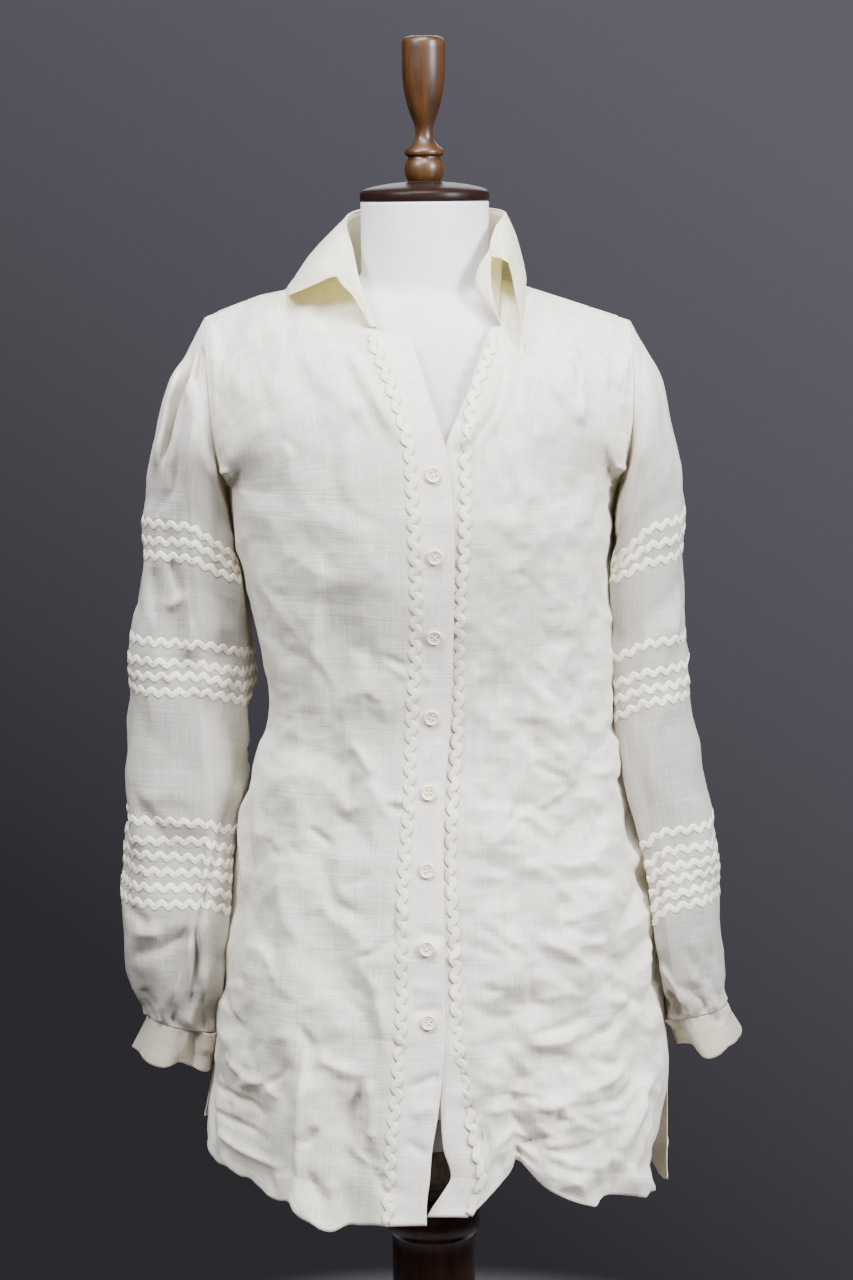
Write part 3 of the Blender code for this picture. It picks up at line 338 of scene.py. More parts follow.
COLLAR = [
    # place, fold x, y, z, middle x, y, z, edge x, y, z
    (0.00, -41, -92, 984, -72, -90, 1028, -117, -62, 1011),
    (0.45, -54, -68, 1015, -86, -62, 1036, -119, -42, 1012),
    (0.80, -62, -34, 1048, -90, -26, 1045, -119, -8, 1013),
    (1.10, -67, 8, 1073, -91, 12, 1051, -118, 16, 1014),
    (1.30, -50, 54, 1081, -70, 72, 1056, -88, 84, 1012),
    (1.50, 0, 76, 1083, 0, 97, 1057, 0, 112, 1012),
    (1.70, 50, 52, 1081, 67, 68, 1056, 80, 84, 1010),
    (1.90, 68, 8, 1077, 78, 10, 1056, 86, 12, 1022),
    (2.20, 61, -27, 1066, 74, -26, 1056, 85, -34, 1015),
    (2.55, 56, -45, 1053, 72, -48, 1044, 83, -66, 992),
    (3.00, 56, -58, 1041, 74, -74, 1028, 81, -98, 965),
]
# the leaf's two front edges, from the roll to the point: share of the way, x, y, z
LEAF_ENDS = {
    "right": [
        (0.0, -41, -92, 984), (0.10, -48, -94, 984), (0.20, -54, -95, 997), (0.31, -61, -94, 1011),
        (0.44, -70, -93, 1021), (0.50, -73, -91, 1028), (0.58, -79, -88, 1027), (0.70, -89, -82, 1022),
        (0.86, -104, -73, 1016), (1.0, -117, -62, 1011),
    ],
    "left": [
        (0.0, 56, -58, 1041), (0.12, 62, -62, 1041), (0.24, 70, -68, 1037), (0.36, 74, -74, 1026),
        (0.55, 77, -83, 1009), (0.78, 80, -93, 984), (1.0, 82, -98, 965),
    ],
}
LEAF_END_REACH = 0.42   # how far round the collar an end's own shape reaches
# the left end of the stand swells towards the neck: share of its height, how far
STAND_SWELL = [(0, 0), (0.1, 5), (0.25, 12), (0.45, 16), (0.65, 15), (0.85, 9), (1, 0)]
# round the collar, the place and reach of its rise and of its fall, and how much of it falls
SWELL_RISE = (2.45, 0.4)
SWELL_FALL = (2.86, 0.14)
SWELL_LOSS = 0.8
BAND_TOP_DROP = 10.0  # how far the right band's top slopes down to its edge
BAND_TOP = (945.0, 38.0)    # the height at which that slope starts, and its reach
STAND_ROWS = 14
LEAF_ROWS = 28
ROLL_ROWS = 7
ROLL_RADIUS = 1.7

BUTTONS = [
    # x, height
    (5, 865), (6, 797), (5, 728), (2, 658), (-1, 594), (-3, 529), (-4, 464), (-3, 401),
]
BUTTON_GAP = 0.5
BUTTON_RINGS = (
    # radius, height: the underside, the rim and the dished middle
    [(0.3, 0.0), (5.4, 0.0), (6.1, 0.35), (6.5, 1.1), (6.45, 1.7), (6.1, 2.1), (5.6, 2.25), (5.2, 2.1)]
    + [(4.9, 1.85), (4.6, 1.65), (4.4, 1.6)]
    + [(4.2 - 0.29 * k, 1.6) for k in range(14)]
)
BUTTON_SIDES = 48
HOLE_PLACE = 1.7 * 1.41     # a hole's distance from the middle
HOLE_RADIUS = 0.8
HOLE_DEPTH = 1.3
HOLED_RING = 9        # the first ring that a hole may reach

STITCH_PITCH = 3.2
STITCH_LENGTH = 2.5
STITCH_RADIUS = 0.28
# a stitch's corners: first end, last end, left, top, right
STITCH_FACES = ((0, 2, 3), (0, 3, 4), (1, 3, 2), (1, 4, 3), (0, 4, 2), (1, 2, 4))

CUTS = {
    # solid it stands for, width and length of the flat piece and its cut area, in metres
    "front_right": ("front_right", (0.26, 0.79), 0.174),
    "front_left": ("front_left", (0.26, 0.78), 0.169),
    "back": ("back", (0.54, 0.78), 0.38),
    "band_right": ("placket_right", (0.036, 0.76), None),
    "band_left": ("placket_left", (0.030, 0.75), None),
    "sleeve_right": ("sleeve_right", (0.39, 0.62), 0.19),
    "sleeve_left": ("sleeve_left", (0.39, 0.60), 0.17),
    "cuff_right": ("cuff_right", (0.205, 0.036), None),
    "cuff_left": ("cuff_left", (0.205, 0.032), None),
    "collar_stand": ("collar_stand", (0.44, 0.05), None),
    "collar_leaf": ("collar_leaf", (0.50, 0.075), None),
}

# ---- sizes of the dress form

FORM_INSET = [
    # height, inset
    (305, 40), (320, 26), (350, 19), (420, 14), (480, 13), (560, 14), (640, 15), (700, 15),
    (770, 8), (825, 5.5), (845, 5.5), (900, 5), (950, 3.2), (985, 2.3), (1004, 2.8),
    (1018, 5), (1060, 5),
]
FORM_LOW = 305.0
FORM_SHOULDER = 950.0
FORM_HIGH = 1088.0
FORM_SHOULDER_INSET = 24.0
NECK_RADIUS = 55.0
NECK_FOOT = 1000.0
FORM_FRONT_ROUND = 1.6
FORM_BACK_ROUND = 2.2
FORM_REACH = 260.0    # beyond its widest
HALVINGS = 30         # steps of the search for its surface
FORM_SIDES = 128
NECK_BLEND = 12.0     # how sharply the neck meets the shoulders
TURNED_SIDES = 64

# turned pieces: height and radius, from the bottom up
NECK_CAP = [
    (1088.4, 20), (1088.4, 54.0), (1088.9, 55.2), (1090, 55.6), (1095, 55.6), (1096.6, 54.8),
    (1098, 53), (1099.5, 50), (1101, 44), (1102.6, 36), (1104, 26), (1105, 14), (1105, 2),
]
FINIAL = [
    (1105.4, 2), (1105.4, 13.5), (1107, 14.8), (1109.5, 15.9), (1112, 16.6), (1116, 16.9),
    (1119, 16.6), (1121, 16), (1123.4, 14.8), (1125, 13.8), (1126.1, 13.6), (1127, 15.2),
    (1128, 16.6), (1129.5, 17.0), (1131, 16.8), (1132.6, 15.9), (1134, 14.5), (1136, 12.2),
    (1138, 10.1), (1141, 8.3), (1144, 7.6), (1149, 7.5), (1153, 8.4), (1156.5, 9.6),
    (1160, 11), (1164, 12.4), (1168, 13.7), (1176, 15.8), (1185, 17.3), (1195, 18.4),
    (1203, 18.6), (1210, 18.5), (1218, 18.4), (1223, 18.3), (1225.4, 17.5), (1226.9, 15.9),
    (1227.9, 12), (1228, 2),
]
POLE = [(250.3, 2), (250.3, 17), (252, 17.6), (304.7, 17.6), (304.7, 2)]
POLE_FOOT = [
    (206, 2), (206, 18.6), (206.6, 19), (209, 19), (209.8, 18.6), (211, 17.5), (214, 17.5),
    (215.2, 18.5), (216, 19.5), (219, 19.5), (220, 18.6), (221, 17.5), (248, 17),
    (249.4, 16.8), (250, 16), (250, 2),
]
COLUMN = [
    (28.3, 2), (28.3, 45.4), (29, 46), (36, 46), (38.5, 43.5), (42, 38), (45, 37.2), (48, 37),
    (160, 37), (171, 37), (172.5, 37.5), (174, 38.5), (175.8, 40.2), (178, 41), (182, 42.0),
    (186, 42.5), (190, 42.5), (194, 42), (196.6, 41), (199, 39), (201.4, 36), (203, 33),
    (204.8, 29), (205.7, 24), (205.7, 2),
]
FOOT = [
    (0, 2), (0, 156), (0.8, 158.6), (3, 160), (13, 160), (15.4, 158.8), (17, 156), (18.8, 149),
    (20, 140), (22, 116), (24, 90), (25.6, 74), (27, 62), (27.7, 55), (28, 50), (28, 2),
]

# ---- creases

# seen from the front: height outwards, half width, then the places x, height it runs through
CREASES_RIGHT = [
    (2.0, 4.0, (-68, 971), (-57, 954), (-47, 935), (-35, 915), (-24, 898), (-17, 887)),
    (-1.6, 5.0, (-76, 965), (-64, 946), (-53, 927), (-42, 906), (-32, 890)),
    (1.6, 4.2, (-52, 716), (-77, 651)),
    (-1.5, 2.6, (-36, 712), (-20, 702)),
    (1.5, 3.0, (-30, 703), (-16, 692)),
    (-0.8, 2.6, (-55, 677), (-42, 668)),
    (2.2, 3.6, (-67, 636), (-47, 608)),
    (2.0, 5.0, (-53, 605), (-34, 574)),
    (-2.0, 3.0, (-38, 583), (-23, 579)),
    (1.2, 3.4, (-34, 589), (-22, 585)),
    (-2.2, 2.8, (-108, 561), (-83, 545)),
    (-1.5, 4.2, (-83, 573), (-65, 564)),
    (1.5, 3.4, (-73, 576), (-59, 584)),
    (-1.0, 2.6, (-141, 546), (-134, 533)),
    (-0.8, 2.6, (-123, 546), (-112, 535)),
    (2.0, 6.7, (-120, 648), (-138, 612)),
    (-0.8, 2.6, (-119, 732), (-115, 718)),
    (1.8, 5.0, (-97, 500), (-79, 480)),
    (-1.5, 5.0, (-79, 512), (-48, 525)),
    (-2.2, 3.2, (-67, 453), (-46, 459), (-31, 473), (-32, 498)),
    (2.2, 3.8, (-62, 449), (-47, 430), (-43, 401), (-36, 364)),
    (-1.0, 2.6, (-72, 433), (-51, 418)),
    (-2.2, 3.4, (-112, 396), (-102, 380), (-101, 342)),
    (-2.2, 3.0, (-118, 362), (-130, 345), (-145, 335), (-152, 339)),
    (2.0, 2.8, (-145, 339), (-130, 326)),
    (2.4, 3.0, (-145, 339), (-168, 330)),
    (-2.6, 2.8, (-197, 315), (-175, 319), (-160, 317), (-148, 310)),
    (1.8, 2.8, (-183, 349), (-161, 338), (-145, 339)),
    (-2.0, 2.6, (-196, 297), (-172, 297), (-152, 293)),
    (2.6, 3.2, (-190, 283), (-167, 275), (-147, 270), (-130, 268)),
    (2.6, 5.0, (-95, 367), (-67, 356)),
    (-4.0, 4.4, (-63, 350), (-63, 336), (-66, 318), (-62, 302), (-59, 290)),
    (3.6, 3.0, (-54, 352), (-53, 330), (-55, 308), (-52, 292)),
    (-3.0, 3.2, (-60, 292), (-53, 283), (-42, 264), (-36, 248)),
    (2.2, 2.8, (-75, 301), (-64, 285), (-45, 275), (-38, 255)),
    (3.4, 3.2, (-103, 378), (-107, 342), (-112, 304), (-113, 267), (-118, 240)),
    (-2.4, 3.2, (-97, 308), (-105, 296), (-111, 293)),
    (-2.0, 3.4, (-104, 270), (-98, 246), (-94, 222)),
    (1.8, 3.0, (-88, 262), (-82, 224)),
    (-1.6, 3.0, (-142, 262), (-136, 243)),
    (1.2, 4.2, (-91, 804), (-97, 720), (-102, 670)),
    (1.0, 5.0, (-120, 703), (-118, 632)),
]
CREASES_LEFT = [
    (3.0, 2.8, (64, 972), (60, 947), (54, 925), (45, 910), (34, 896), (23, 878)),
    (-2.4, 1.8, (68, 970), (65, 947), (59, 925), (50, 910), (39, 896), (29, 880)),
    (2.2, 3.4, (74, 968), (70, 945), (64, 922), (55, 905), (44, 890)),
    (-1.2, 2.2, (82, 823), (81, 802), (74, 764), (67, 722), (59, 696), (52, 667), (48, 629),
     (44, 595), (40, 562), (32, 515)),
    (-2.0, 4.4, (90, 709), (87, 629)),
    (-2.2, 3.2, (87, 621), (98, 608), (121, 599)),
    (1.7, 3.2, (109, 608), (126, 595)),
    (1.2, 2.6, (89, 709), (111, 683)),
    (-0.8, 2.6, (112, 682), (149, 690)),
    (-0.8, 2.6, (106, 636), (121, 614)),
    (1.4, 2.8, (125, 596), (77, 569), (60, 552)),
    (-1.3, 2.6, (58, 549), (80, 545)),
    (-2.6, 4.6, (73, 532), (72, 454)),
    (2.0, 3.6, (75, 538), (106, 516), (127, 489)),
    (-2.6, 3.6, (55, 473), (76, 454), (84, 427), (93, 404)),
    (1.6, 2.8, (50, 485), (73, 458)),
    (2.4, 4.4, (84, 475), (122, 449), (144, 428)),
    (-2.6, 5.0, (122, 453), (153, 447), (168, 428)),
    (-1.6, 3.4, (105, 440), (130, 415)),
    (1.0, 3.4, (88, 414), (114, 419), (142, 411)),
    (-3.0, 3.6, (82, 385), (109, 389), (136, 397)),
    (2.5, 5.0, (83, 377), (108, 377), (132, 384)),
    (-3.0, 4.2, (132, 376), (152, 382), (176, 403), (199, 390)),
    (-2.6, 4.2, (94, 365), (118, 363)),
    (-4.0, 3.6, (105, 362), (105, 338), (107, 326)),
    (-3.4, 3.0, (107, 327), (104, 312), (97, 299), (85, 292), (75, 290)),
    (-3.4, 3.0, (107, 327), (117, 321), (131, 309), (149, 295)),
    (3.2, 5.0, (118, 314), (134, 302), (148, 296)),
    (-3.0, 2.8, (150, 294), (136, 286), (122, 284), (106, 285), (90, 289)),
    (-3.2, 3.0, (180, 357), (175, 336), (157, 320), (135, 319), (113, 326)),
    (3.0, 4.0, (120, 336), (146, 335), (166, 350)),
    (-3.2, 3.2, (195, 332), (183, 295), (168, 271), (158, 245)),
    (2.6, 3.6, (187, 336), (172, 300), (158, 276)),
    (-2.6, 3.4, (73, 296), (75, 278), (73, 266)),
    (2.0, 3.0, (66, 292), (66, 268)),
    (-2.0, 3.0, (103, 281), (104, 256)),
    (-2.6, 3.0, (149, 292), (153, 258), (156, 240)),
    (2.0, 3.0, (160, 285), (168, 261), (172, 240)),
    (-2.4, 3.0, (51, 284), (62, 270)),
    (-2.4, 3.0, (35, 329), (44, 298), (47, 280)),
    (2.0, 2.8, (32, 345), (38, 318), (52, 296)),
    (-2.4, 3.6, (76, 362), (70, 330), (70, 310)),
    (1.8, 3.2, (84, 352), (82, 326), (88, 304)),
    (-1.8, 2.6, (76, 334), (94, 330), (104, 337)),
    (-2.4, 3.0, (109, 271), (138, 261), (144, 242)),
    (1.8, 3.0, (112, 262), (130, 250)),
    (-1.5, 3.4, (56, 402), (59, 368), (56, 318)),
    (-1.6, 3.2, (196, 300), (190, 262)),
]
CREASES_BAND = [
    (-1.3, 4.0, (-8, 478), (12, 472)),
    (1.0, 5.0, (-14, 466), (10, 462)),
    (-1.3, 3.6, (-18, 410), (10, 412)),
    (1.0, 5.0, (-20, 432), (8, 428)),
    (-1.8, 4.0, (-22, 344), (8, 356)),
    (1.6, 6.0, (-18, 322), (2, 330)),
    (-1.4, 4.0, (-24, 300), (-4, 286)),
    (1.0, 4.0, (10, 640), (-4, 618)),
    (-0.8, 4.0, (-6, 600), (10, 606)),
    (0.8, 4.0, (-14, 700), (4, 690)),
]
CREASES_SLEEVE_RIGHT = [
    (-8.0, 3.0, (-199, 962), (-205, 942), (-212, 926), (-218, 905), (-222, 888), (-228, 866)),
    (6.5, 3.4, (-208, 955), (-214, 938), (-221, 918), (-227, 896), (-234, 862)),
    (-5.0, 2.4, (-190, 968), (-193, 950), (-196, 934)),
    (3.0, 2.6, (-196, 964), (-199, 944), (-204, 922)),
    (-2.4, 5.0, (-203, 932), (-209, 900), (-212, 868), (-217, 846), (-228, 832), (-238, 824)),
    (1.6, 4.0, (-194, 930), (-200, 890), (-206, 850)),
    (-3.6, 2.6, (-174, 570), (-182, 543), (-192, 512), (-201, 479), (-205, 459), (-206, 418),
     (-202, 396), (-200, 374)),
    (2.6, 3.4, (-178, 560), (-190, 530), (-199, 500), (-208, 465), (-211, 430), (-208, 400)),
    (-3.4, 3.6, (-222, 785), (-211, 749)),
    (2.8, 3.6, (-226, 742), (-208, 757)),
    (-2.6, 3.6, (-238, 780), (-236, 730)),
    (2.6, 3.6, (-204, 736), (-206, 700)),
    (-3.2, 5.0, (-264, 432), (-236, 444), (-208, 460)),
    (3.6, 5.0, (-206, 457), (-217, 429), (-230, 390)),
    (-3.2, 5.0, (-202, 448), (-208, 413), (-215, 377)),
    (3.0, 4.2, (-199, 478), (-202, 431), (-200, 396), (-197, 372)),
    (-3.0, 3.0, (-266, 478), (-245, 463)),
    (3.0, 5.0, (-261, 456), (-234, 458)),
    (-2.0, 4.2, (-256, 404), (-243, 385)),
]
CREASES_SLEEVE_LEFT = [
    (3.0, 2.6, (196, 427), (209, 407), (224, 377)),
    (-3.0, 3.6, (206, 400), (219, 374)),
    (-2.0, 5.0, (246, 440), (243, 400)),
    (1.6, 5.0, (228, 452), (238, 424), (230, 404)),
]
CREASES_CUFFS = {
    "right": [
        (-4.0, 4.0, (-207, 384), (-209, 350), (-211, 322)),
        (2.5, 6.0, (-196, 372), (-200, 340)),
        (-1.5, 5.0, (-222, 368), (-224, 330)),
    ],
    "left": [
        (3.5, 4.5, (206, 372), (209, 352)),
        (-3.0, 4.0, (216, 376), (219, 352)),
        (-3.0, 3.6, (246, 382), (256, 366)),
        (2.5, 5.0, (262, 386), (268, 372)),
    ],
}
CREASE_DEPTH = 1.8    # times the heights in these tables
CREASE_TAPER = 0.3    # share of a crease's length over which each end dies away
CORNER_SWAY = 0.40    # how far the corners of the crumple stray from even rows
FACET_SOFT = 1.1      # rounding of the ridges between its facets

SCATTERED = {
    # seed, number, low and high corner of the area, length, half width, height, slant
    "back": [
        (5, 34, ((-165, 250), (165, 430)), (30, 80), (3.0, 5.5), (1.2, 3.4), 0.3),
        (6, 26, ((-150, 430), (150, 620)), (25, 70), (2.8, 4.8), (0.8, 2.4), 0.2),
        (7, 14, ((-130, 620), (130, 840)), (25, 60), (2.6, 4.4), (0.5, 1.2), 0.9),
    ],
    "right": [(15, 26, ((180, 60), (380, 600)), (25, 70), (3.0, 5.0), (1.0, 2.6), 0.6)],
    "left": [(16, 26, ((180, 60), (380, 600)), (25, 70), (3.0, 5.0), (1.0, 2.6), -0.6)],
}

# how crumpled the body is at each height, as a share of the most
CRUMPLE = [
    (230, 1.0), (330, 1.0), (420, 0.9), (520, 0.78), (640, 0.70), (760, 0.55), (860, 0.55),
    (950, 0.70), (1024, 0.35),
]
# how deep a crease may sink before it nears the form, by height
TROUGH = [
    (230, 30.0), (600, 12.0), (640, 7.0), (700, 7.0), (770, 4.5), (845, 3.0), (950, 1.6), (1024, 0.6),
]
# wide, small and tiny facets: size of a cell across and along, height, turn
FACETS = [
    dict(cells=(44.0, 62.0), rise=9.0, turn=0.35),
    dict(cells=(19.0, 28.0), rise=5.0, turn=-0.45),
    dict(cells=(9.0, 13.0), rise=1.1, turn=0.8),
]
SLEEVE_FACETS = [
    dict(cells=(34.0, 62.0), rise=4.4, turn=0.2),
    dict(cells=(17.0, 25.0), rise=2.2, turn=-0.4),
]
SLEEVE_SEEDS = {"right": (76, 82), "left": (75, 81)}
PLEAT_SEEDS = {"right": 61, "left": 67}
BRAID_SEEDS = {"right": 91, "left": 97}
# facets of the bands, the collar's stand and its leaf
BAND_FACETS = dict(cells=(24.0, 38.0), rise=0.9, seed=51)
STAND_FACETS = dict(cells=(22.0, 16.0), rise=0.8, seed=83)
LEAF_FACETS = dict(cells=(30.0, 24.0), rise=1.3, seed=89)
# each panel's first seed, its share of the crumpling and the weight of each size of facet
CRUMPLED = {
    "right": (11, 0.95, (0.65, 1.0, 1.2)),
    "left": (23, 1.3, (0.5, 1.0, 2.6)),
    "back": (37, 1.0, (1.0, 1.0, 1.0)),
}
UNDERARM_CALM = (855.0, 30.0)   # where the cloth is calm beside the underarm: height, reach
SLIT_CALM = (377.0, 50.0)       # and beside the left slit: height from which down, reach
SIDE_CALM = 0.8       # how calm it is there
CALM_SHARE = 0.35     # the cloth is calmer beside the bands
CALM_REACH = 45.0
LAP_STEPS = 6         # steps below the shoulder over which the lap dies away
SEAM_DIP = 0.7        # how far cloth sinks into a seam
ARMHOLE_DIP = 0.25
SIDE_REACH = 190.0    # about the width of a front
# creases die away to a panel's edges over one part in so many of its width
FRONT_EDGE = 11
BACK_EDGE = 8
BAND_GROOVE = 0.35    # depth of a band's stitched grooves

# ---- small helpers


def curve(rows, at, column=1):
    """A smooth curve through a table's column, read at values of its first column."""
    keys = np.array([row[0] for row in rows], dtype=float)
    values = np.array([row[column] for row in rows], dtype=float)
    place = np.arange(len(keys))
    before, after = np.maximum(place - 1, 0), np.minimum(place + 1, len(keys) - 1)
    slopes = (values[after] - values[before]) / (keys[after] - keys[before])
    at = np.clip(np.asarray(at, dtype=float), keys[0], keys[-1])
    k = np.clip(np.searchsorted(keys, at, side="right") - 1, 0, len(keys) - 2)
    step = keys[k + 1] - keys[k]
    t = (at - keys[k]) / step
    return (
        (2 * t**3 - 3 * t**2 + 1) * values[k]
        + (t**3 - 2 * t**2 + t) * step * slopes[k]
        + (3 * t**2 - 2 * t**3) * values[k + 1]
        + (t**3 - t**2) * step * slopes[k + 1]
    )


def straight(rows, at, column=1):
    """A table's column read in straight lines between its rows."""
    return np.interp(at, [row[0] for row in rows], [row[column] for row in rows])


def ease(t):
    t = np.clip(t, 0.0, 1.0)
    return t * t * (3 - 2 * t)


def mix(a, b, t):
    return a + (b - a) * t


def unit(vectors):
    return vectors / np.maximum(np.linalg.norm(vectors, axis=-1, keepdims=True), 1e-9)


def bump(distance, half_width):
    """A soft ridge: 1 on its line, 0 from twice the half width on."""
    t = np.minimum(np.abs(distance) / (2 * half_width), 1.0)
    return (1 - t * t) ** 2


def lengths_along(points):
    """Distance run along a line of points."""
    steps = np.linalg.norm(np.diff(points, axis=0), axis=1)
    return np.concatenate([[0.0], np.cumsum(steps)])


def flat_map(grid):
    """Places across and along a grid, in millimetres of its cloth."""
    across = lengths_along(grid[grid.shape[0] // 2])
    along = lengths_along(grid[:, grid.shape[1] // 2])
    return np.meshgrid(across, along)


def crease_heights(x, z, rows):
    """Height of the creases in a table at the places x, z."""
    height = np.zeros(x.shape)
    for rise, half, *points in rows:
        points = np.array(points, dtype=float)
        runs = lengths_along(points)
        nearest = np.full(x.shape, 1e9)
        along = np.zeros(x.shape)
        for a, b, start in zip(points[:-1], points[1:], runs[:-1]):
            way = b - a
            length = np.hypot(*way)
            t = ((x - a[0]) * way[0] + (z - a[1]) * way[1]) / length**2
            t = np.clip(t, 0.0, 1.0)
            distance = np.hypot(x - a[0] - t * way[0], z - a[1] - t * way[1])
            closer = distance < nearest
            nearest = np.where(closer, distance, nearest)
            along = np.where(closer, (start + t * length) / runs[-1], along)
        share = np.maximum(1 - nearest / (2.4 * half), 0.0)
        taper = ease((along + 0.06) / CREASE_TAPER) * ease((1.06 - along) / CREASE_TAPER)
        height += CREASE_DEPTH * rise * taper * share**1.7
    return height


def triangles_over(a, b, chance):
    """Uneven triangles that cover the places a, b, one corner to each unit square."""
    low_a, high_a = math.floor(a.min()) - 1, math.ceil(a.max()) + 2
    low_b, high_b = math.floor(b.min()) - 1, math.ceil(b.max()) + 2
    across, along = np.meshgrid(np.arange(low_a, high_a), np.arange(low_b, high_b))
    corners = np.stack([across.ravel(), along.ravel()], axis=-1)
    corners = corners + chance.uniform(-CORNER_SWAY, CORNER_SWAY, corners.shape)
    found = delaunay_2d_cdt([Vector(corner) for corner in corners], [], [], 0, 1e-5)
    places = np.array([tuple(corner) for corner in found[0]])
    return places, [tuple(face) for face in found[2]]


def facets(u, v, cells, rise, seed, turn=0.0):
    """Crumpled cloth: flat facets between corners that stand at heights of their own."""
    chance = np.random.RandomState(seed)
    a = (math.cos(turn) * u + math.sin(turn) * v) / cells[0]
    b = (math.cos(turn) * v - math.sin(turn) * u) / cells[1]
    shifts = np.array([(0, 0), (1, 0), (-1, 0), (0, 1), (0, -1)]) * FACET_SOFT
    a = a[None] + (shifts[:, 0] / cells[0])[:, None, None]
    b = b[None] + (shifts[:, 1] / cells[1])[:, None, None]
    places, triangles = triangles_over(a, b, chance)
    levels = chance.uniform(-rise, rise, len(places))
    height = np.zeros(a.shape)
    for face in triangles:
        corners = places[list(face)]
        (pa, pb), (qa, qb), (ra, rb) = corners
        p, q, r = levels[list(face)]
        (low_a, low_b), (high_a, high_b) = corners.min(axis=0), corners.max(axis=0)
        near = (a >= low_a) & (a <= high_a) & (b >= low_b) & (b <= high_b)
        da, db = a[near] - pa, b[near] - pb
        area = (qa - pa) * (rb - pb) - (qb - pb) * (ra - pa)
        to_q = (da * (rb - pb) - db * (ra - pa)) / area
        to_r = (db * (qa - pa) - da * (qb - pb)) / area
        inside = (to_q >= -1e-9) & (to_r >= -1e-9) & (to_q + to_r <= 1 + 1e-9)
        height[near] = np.where(inside, p + to_q * (q - p) + to_r * (r - p), height[near])
    return height.mean(axis=0)


def scattered(name):
    """Rows of small creases scattered over hidden cloth, as a crease table has them."""
    rows = []
    for seed, count, (low, high), length, half_width, rise, slant in SCATTERED[name]:
        chance = np.random.RandomState(seed)
        for _ in range(count):
            place = np.array([chance.uniform(low[0], high[0]), chance.uniform(low[1], high[1])])
            turn = chance.normal(slant, 0.5)
            step = np.array([math.cos(turn), math.sin(turn)]) * chance.uniform(*length) / 2
            sway = np.array([-step[1], step[0]]) * chance.uniform(-0.3, 0.3)
            height = chance.uniform(*rise) * (1 if chance.uniform() < 0.5 else -1)
            half = chance.uniform(*half_width)
            rows.append((height, half, place - step, place + sway, place + step))
    return rows


# ---- meshes


def make_object(name, vertices, faces, material):
    """A smooth mesh of one material, from points in millimetres."""
    mesh = bpy.data.meshes.new(name)
    mesh.from_pydata((np.asarray(vertices) * MM).tolist(), [], faces)
    mesh.materials.append(materials[material])
    mesh.shade_smooth()
    piece = bpy.data.objects.new(name, mesh)
    bpy.context.collection.objects.link(piece)
    return piece


def add_cloth_uv(mesh, corners, across, along):
    """A map of the flat cloth, in metres, for its weave."""
    layer = mesh.uv_layers.new(name="cloth")
    places = np.stack([across[corners[..., 1]], along[corners[..., 0]]], axis=-1) * MM
    layer.data.foreach_set("uv", places.astype(np.float32).ravel())


def cloth(name, grid, outward, material, closed=False, thickness=CLOTH):
    """A sheet over a grid of points, thickened inwards by a Solidify."""
    rows, columns = grid.shape[:2]
    count = columns if closed else columns - 1
    r, c = np.meshgrid(np.arange(rows - 1), np.arange(count), indexing="ij")
    corners = [(r, c), (r, c + 1), (r + 1, c + 1), (r + 1, c)]
    middle = (rows // 2, count // 2)
    facing = np.cross(
        grid[middle[0], middle[1] + 1 - columns] - grid[middle[0], middle[1]],
        grid[middle[0] + 1, middle[1]] - grid[middle[0], middle[1]],
    )
    if np.dot(facing, outward[middle]) < 0:
        corners.reverse()
    corners = np.stack([np.stack(corner, axis=-1) for corner in corners], axis=2)
    quads = corners[..., 0] * columns + corners[..., 1] % columns
    piece = make_object(name, grid.reshape(-1, 3), quads.reshape(-1, 4).tolist(), material)
    looped = np.concatenate([grid, grid[:, :1]], axis=1) if closed else grid
    across = lengths_along(looped[rows // 2])
    along = lengths_along(grid[:, columns // 2])
    add_cloth_uv(piece.data, corners.reshape(-1, 4, 2), across, along)
    shell = piece.modifiers.new("thickness", "SOLIDIFY")
    shell.thickness = thickness * MM
    shell.offset = -1.0
    shell.use_even_offset = False
    return piece


def grid_normals(grid, inside, closed=False):
    """Unit normals of a grid of points, all pointing away from an inner point."""
    if closed:
        grid = np.concatenate([grid[:, -1:], grid, grid[:, :1]], axis=1)
    normals = unit(np.cross(np.gradient(grid, axis=0), np.gradient(grid, axis=1)))
    if np.sum(normals * (grid - inside)) < 0:
        normals = -normals
    return normals[:, 1:-1] if closed else normals


def ring_faces(count, sides, closed=False):
    """Faces of a tube of rings, which has a flat face at each end or is closed to a loop."""
    faces = []
    for r in range(count if closed else count - 1):
        low, high = r * sides, (r + 1) % count * sides
        for i in range(sides):
            after = (i + 1) % sides
            faces.append([low + i, low + after, high + after, high + i])
    if not closed:
        faces += [list(range(sides))[::-1], [(count - 1) * sides + i for i in range(sides)]]
    return faces


def raised(grid, height, inside):
    """A grid moved outwards by a height at each point, with its new normals."""
    lifted = grid + grid_normals(grid, inside) * height[..., None]
    return lifted, grid_normals(lifted, inside)


def turned(name, profile, material):
    """A turned piece: its profile spun round the axis."""
    turn = 2 * np.pi * np.arange(TURNED_SIDES) / TURNED_SIDES
    rings = [
        np.stack([radius * np.cos(turn), radius * np.sin(turn), np.full(TURNED_SIDES, z)], axis=-1)
        for z, radius in profile
    ]
    faces = ring_faces(len(profile), TURNED_SIDES)
    piece = make_object(name, np.concatenate(rings), faces, material)
    piece.data.set_sharp_from_angle(angle=math.radians(35))
    return piece


# ---- the shell of the body


def by_side(sign, right, left):
    """The right side's value where a place lies there, and else the left side's."""
    return np.where(np.asarray(sign) < 0, right, left)


def shoulder_ends(sign):
    """The shoulder's tip and neck point on the side of each place."""
    right, left = SIDES["right"], SIDES["left"]
    pairs = zip(right["tip"] + right["neck"], left["tip"] + left["neck"])
    return [by_side(sign, *pair) for pair in pairs]


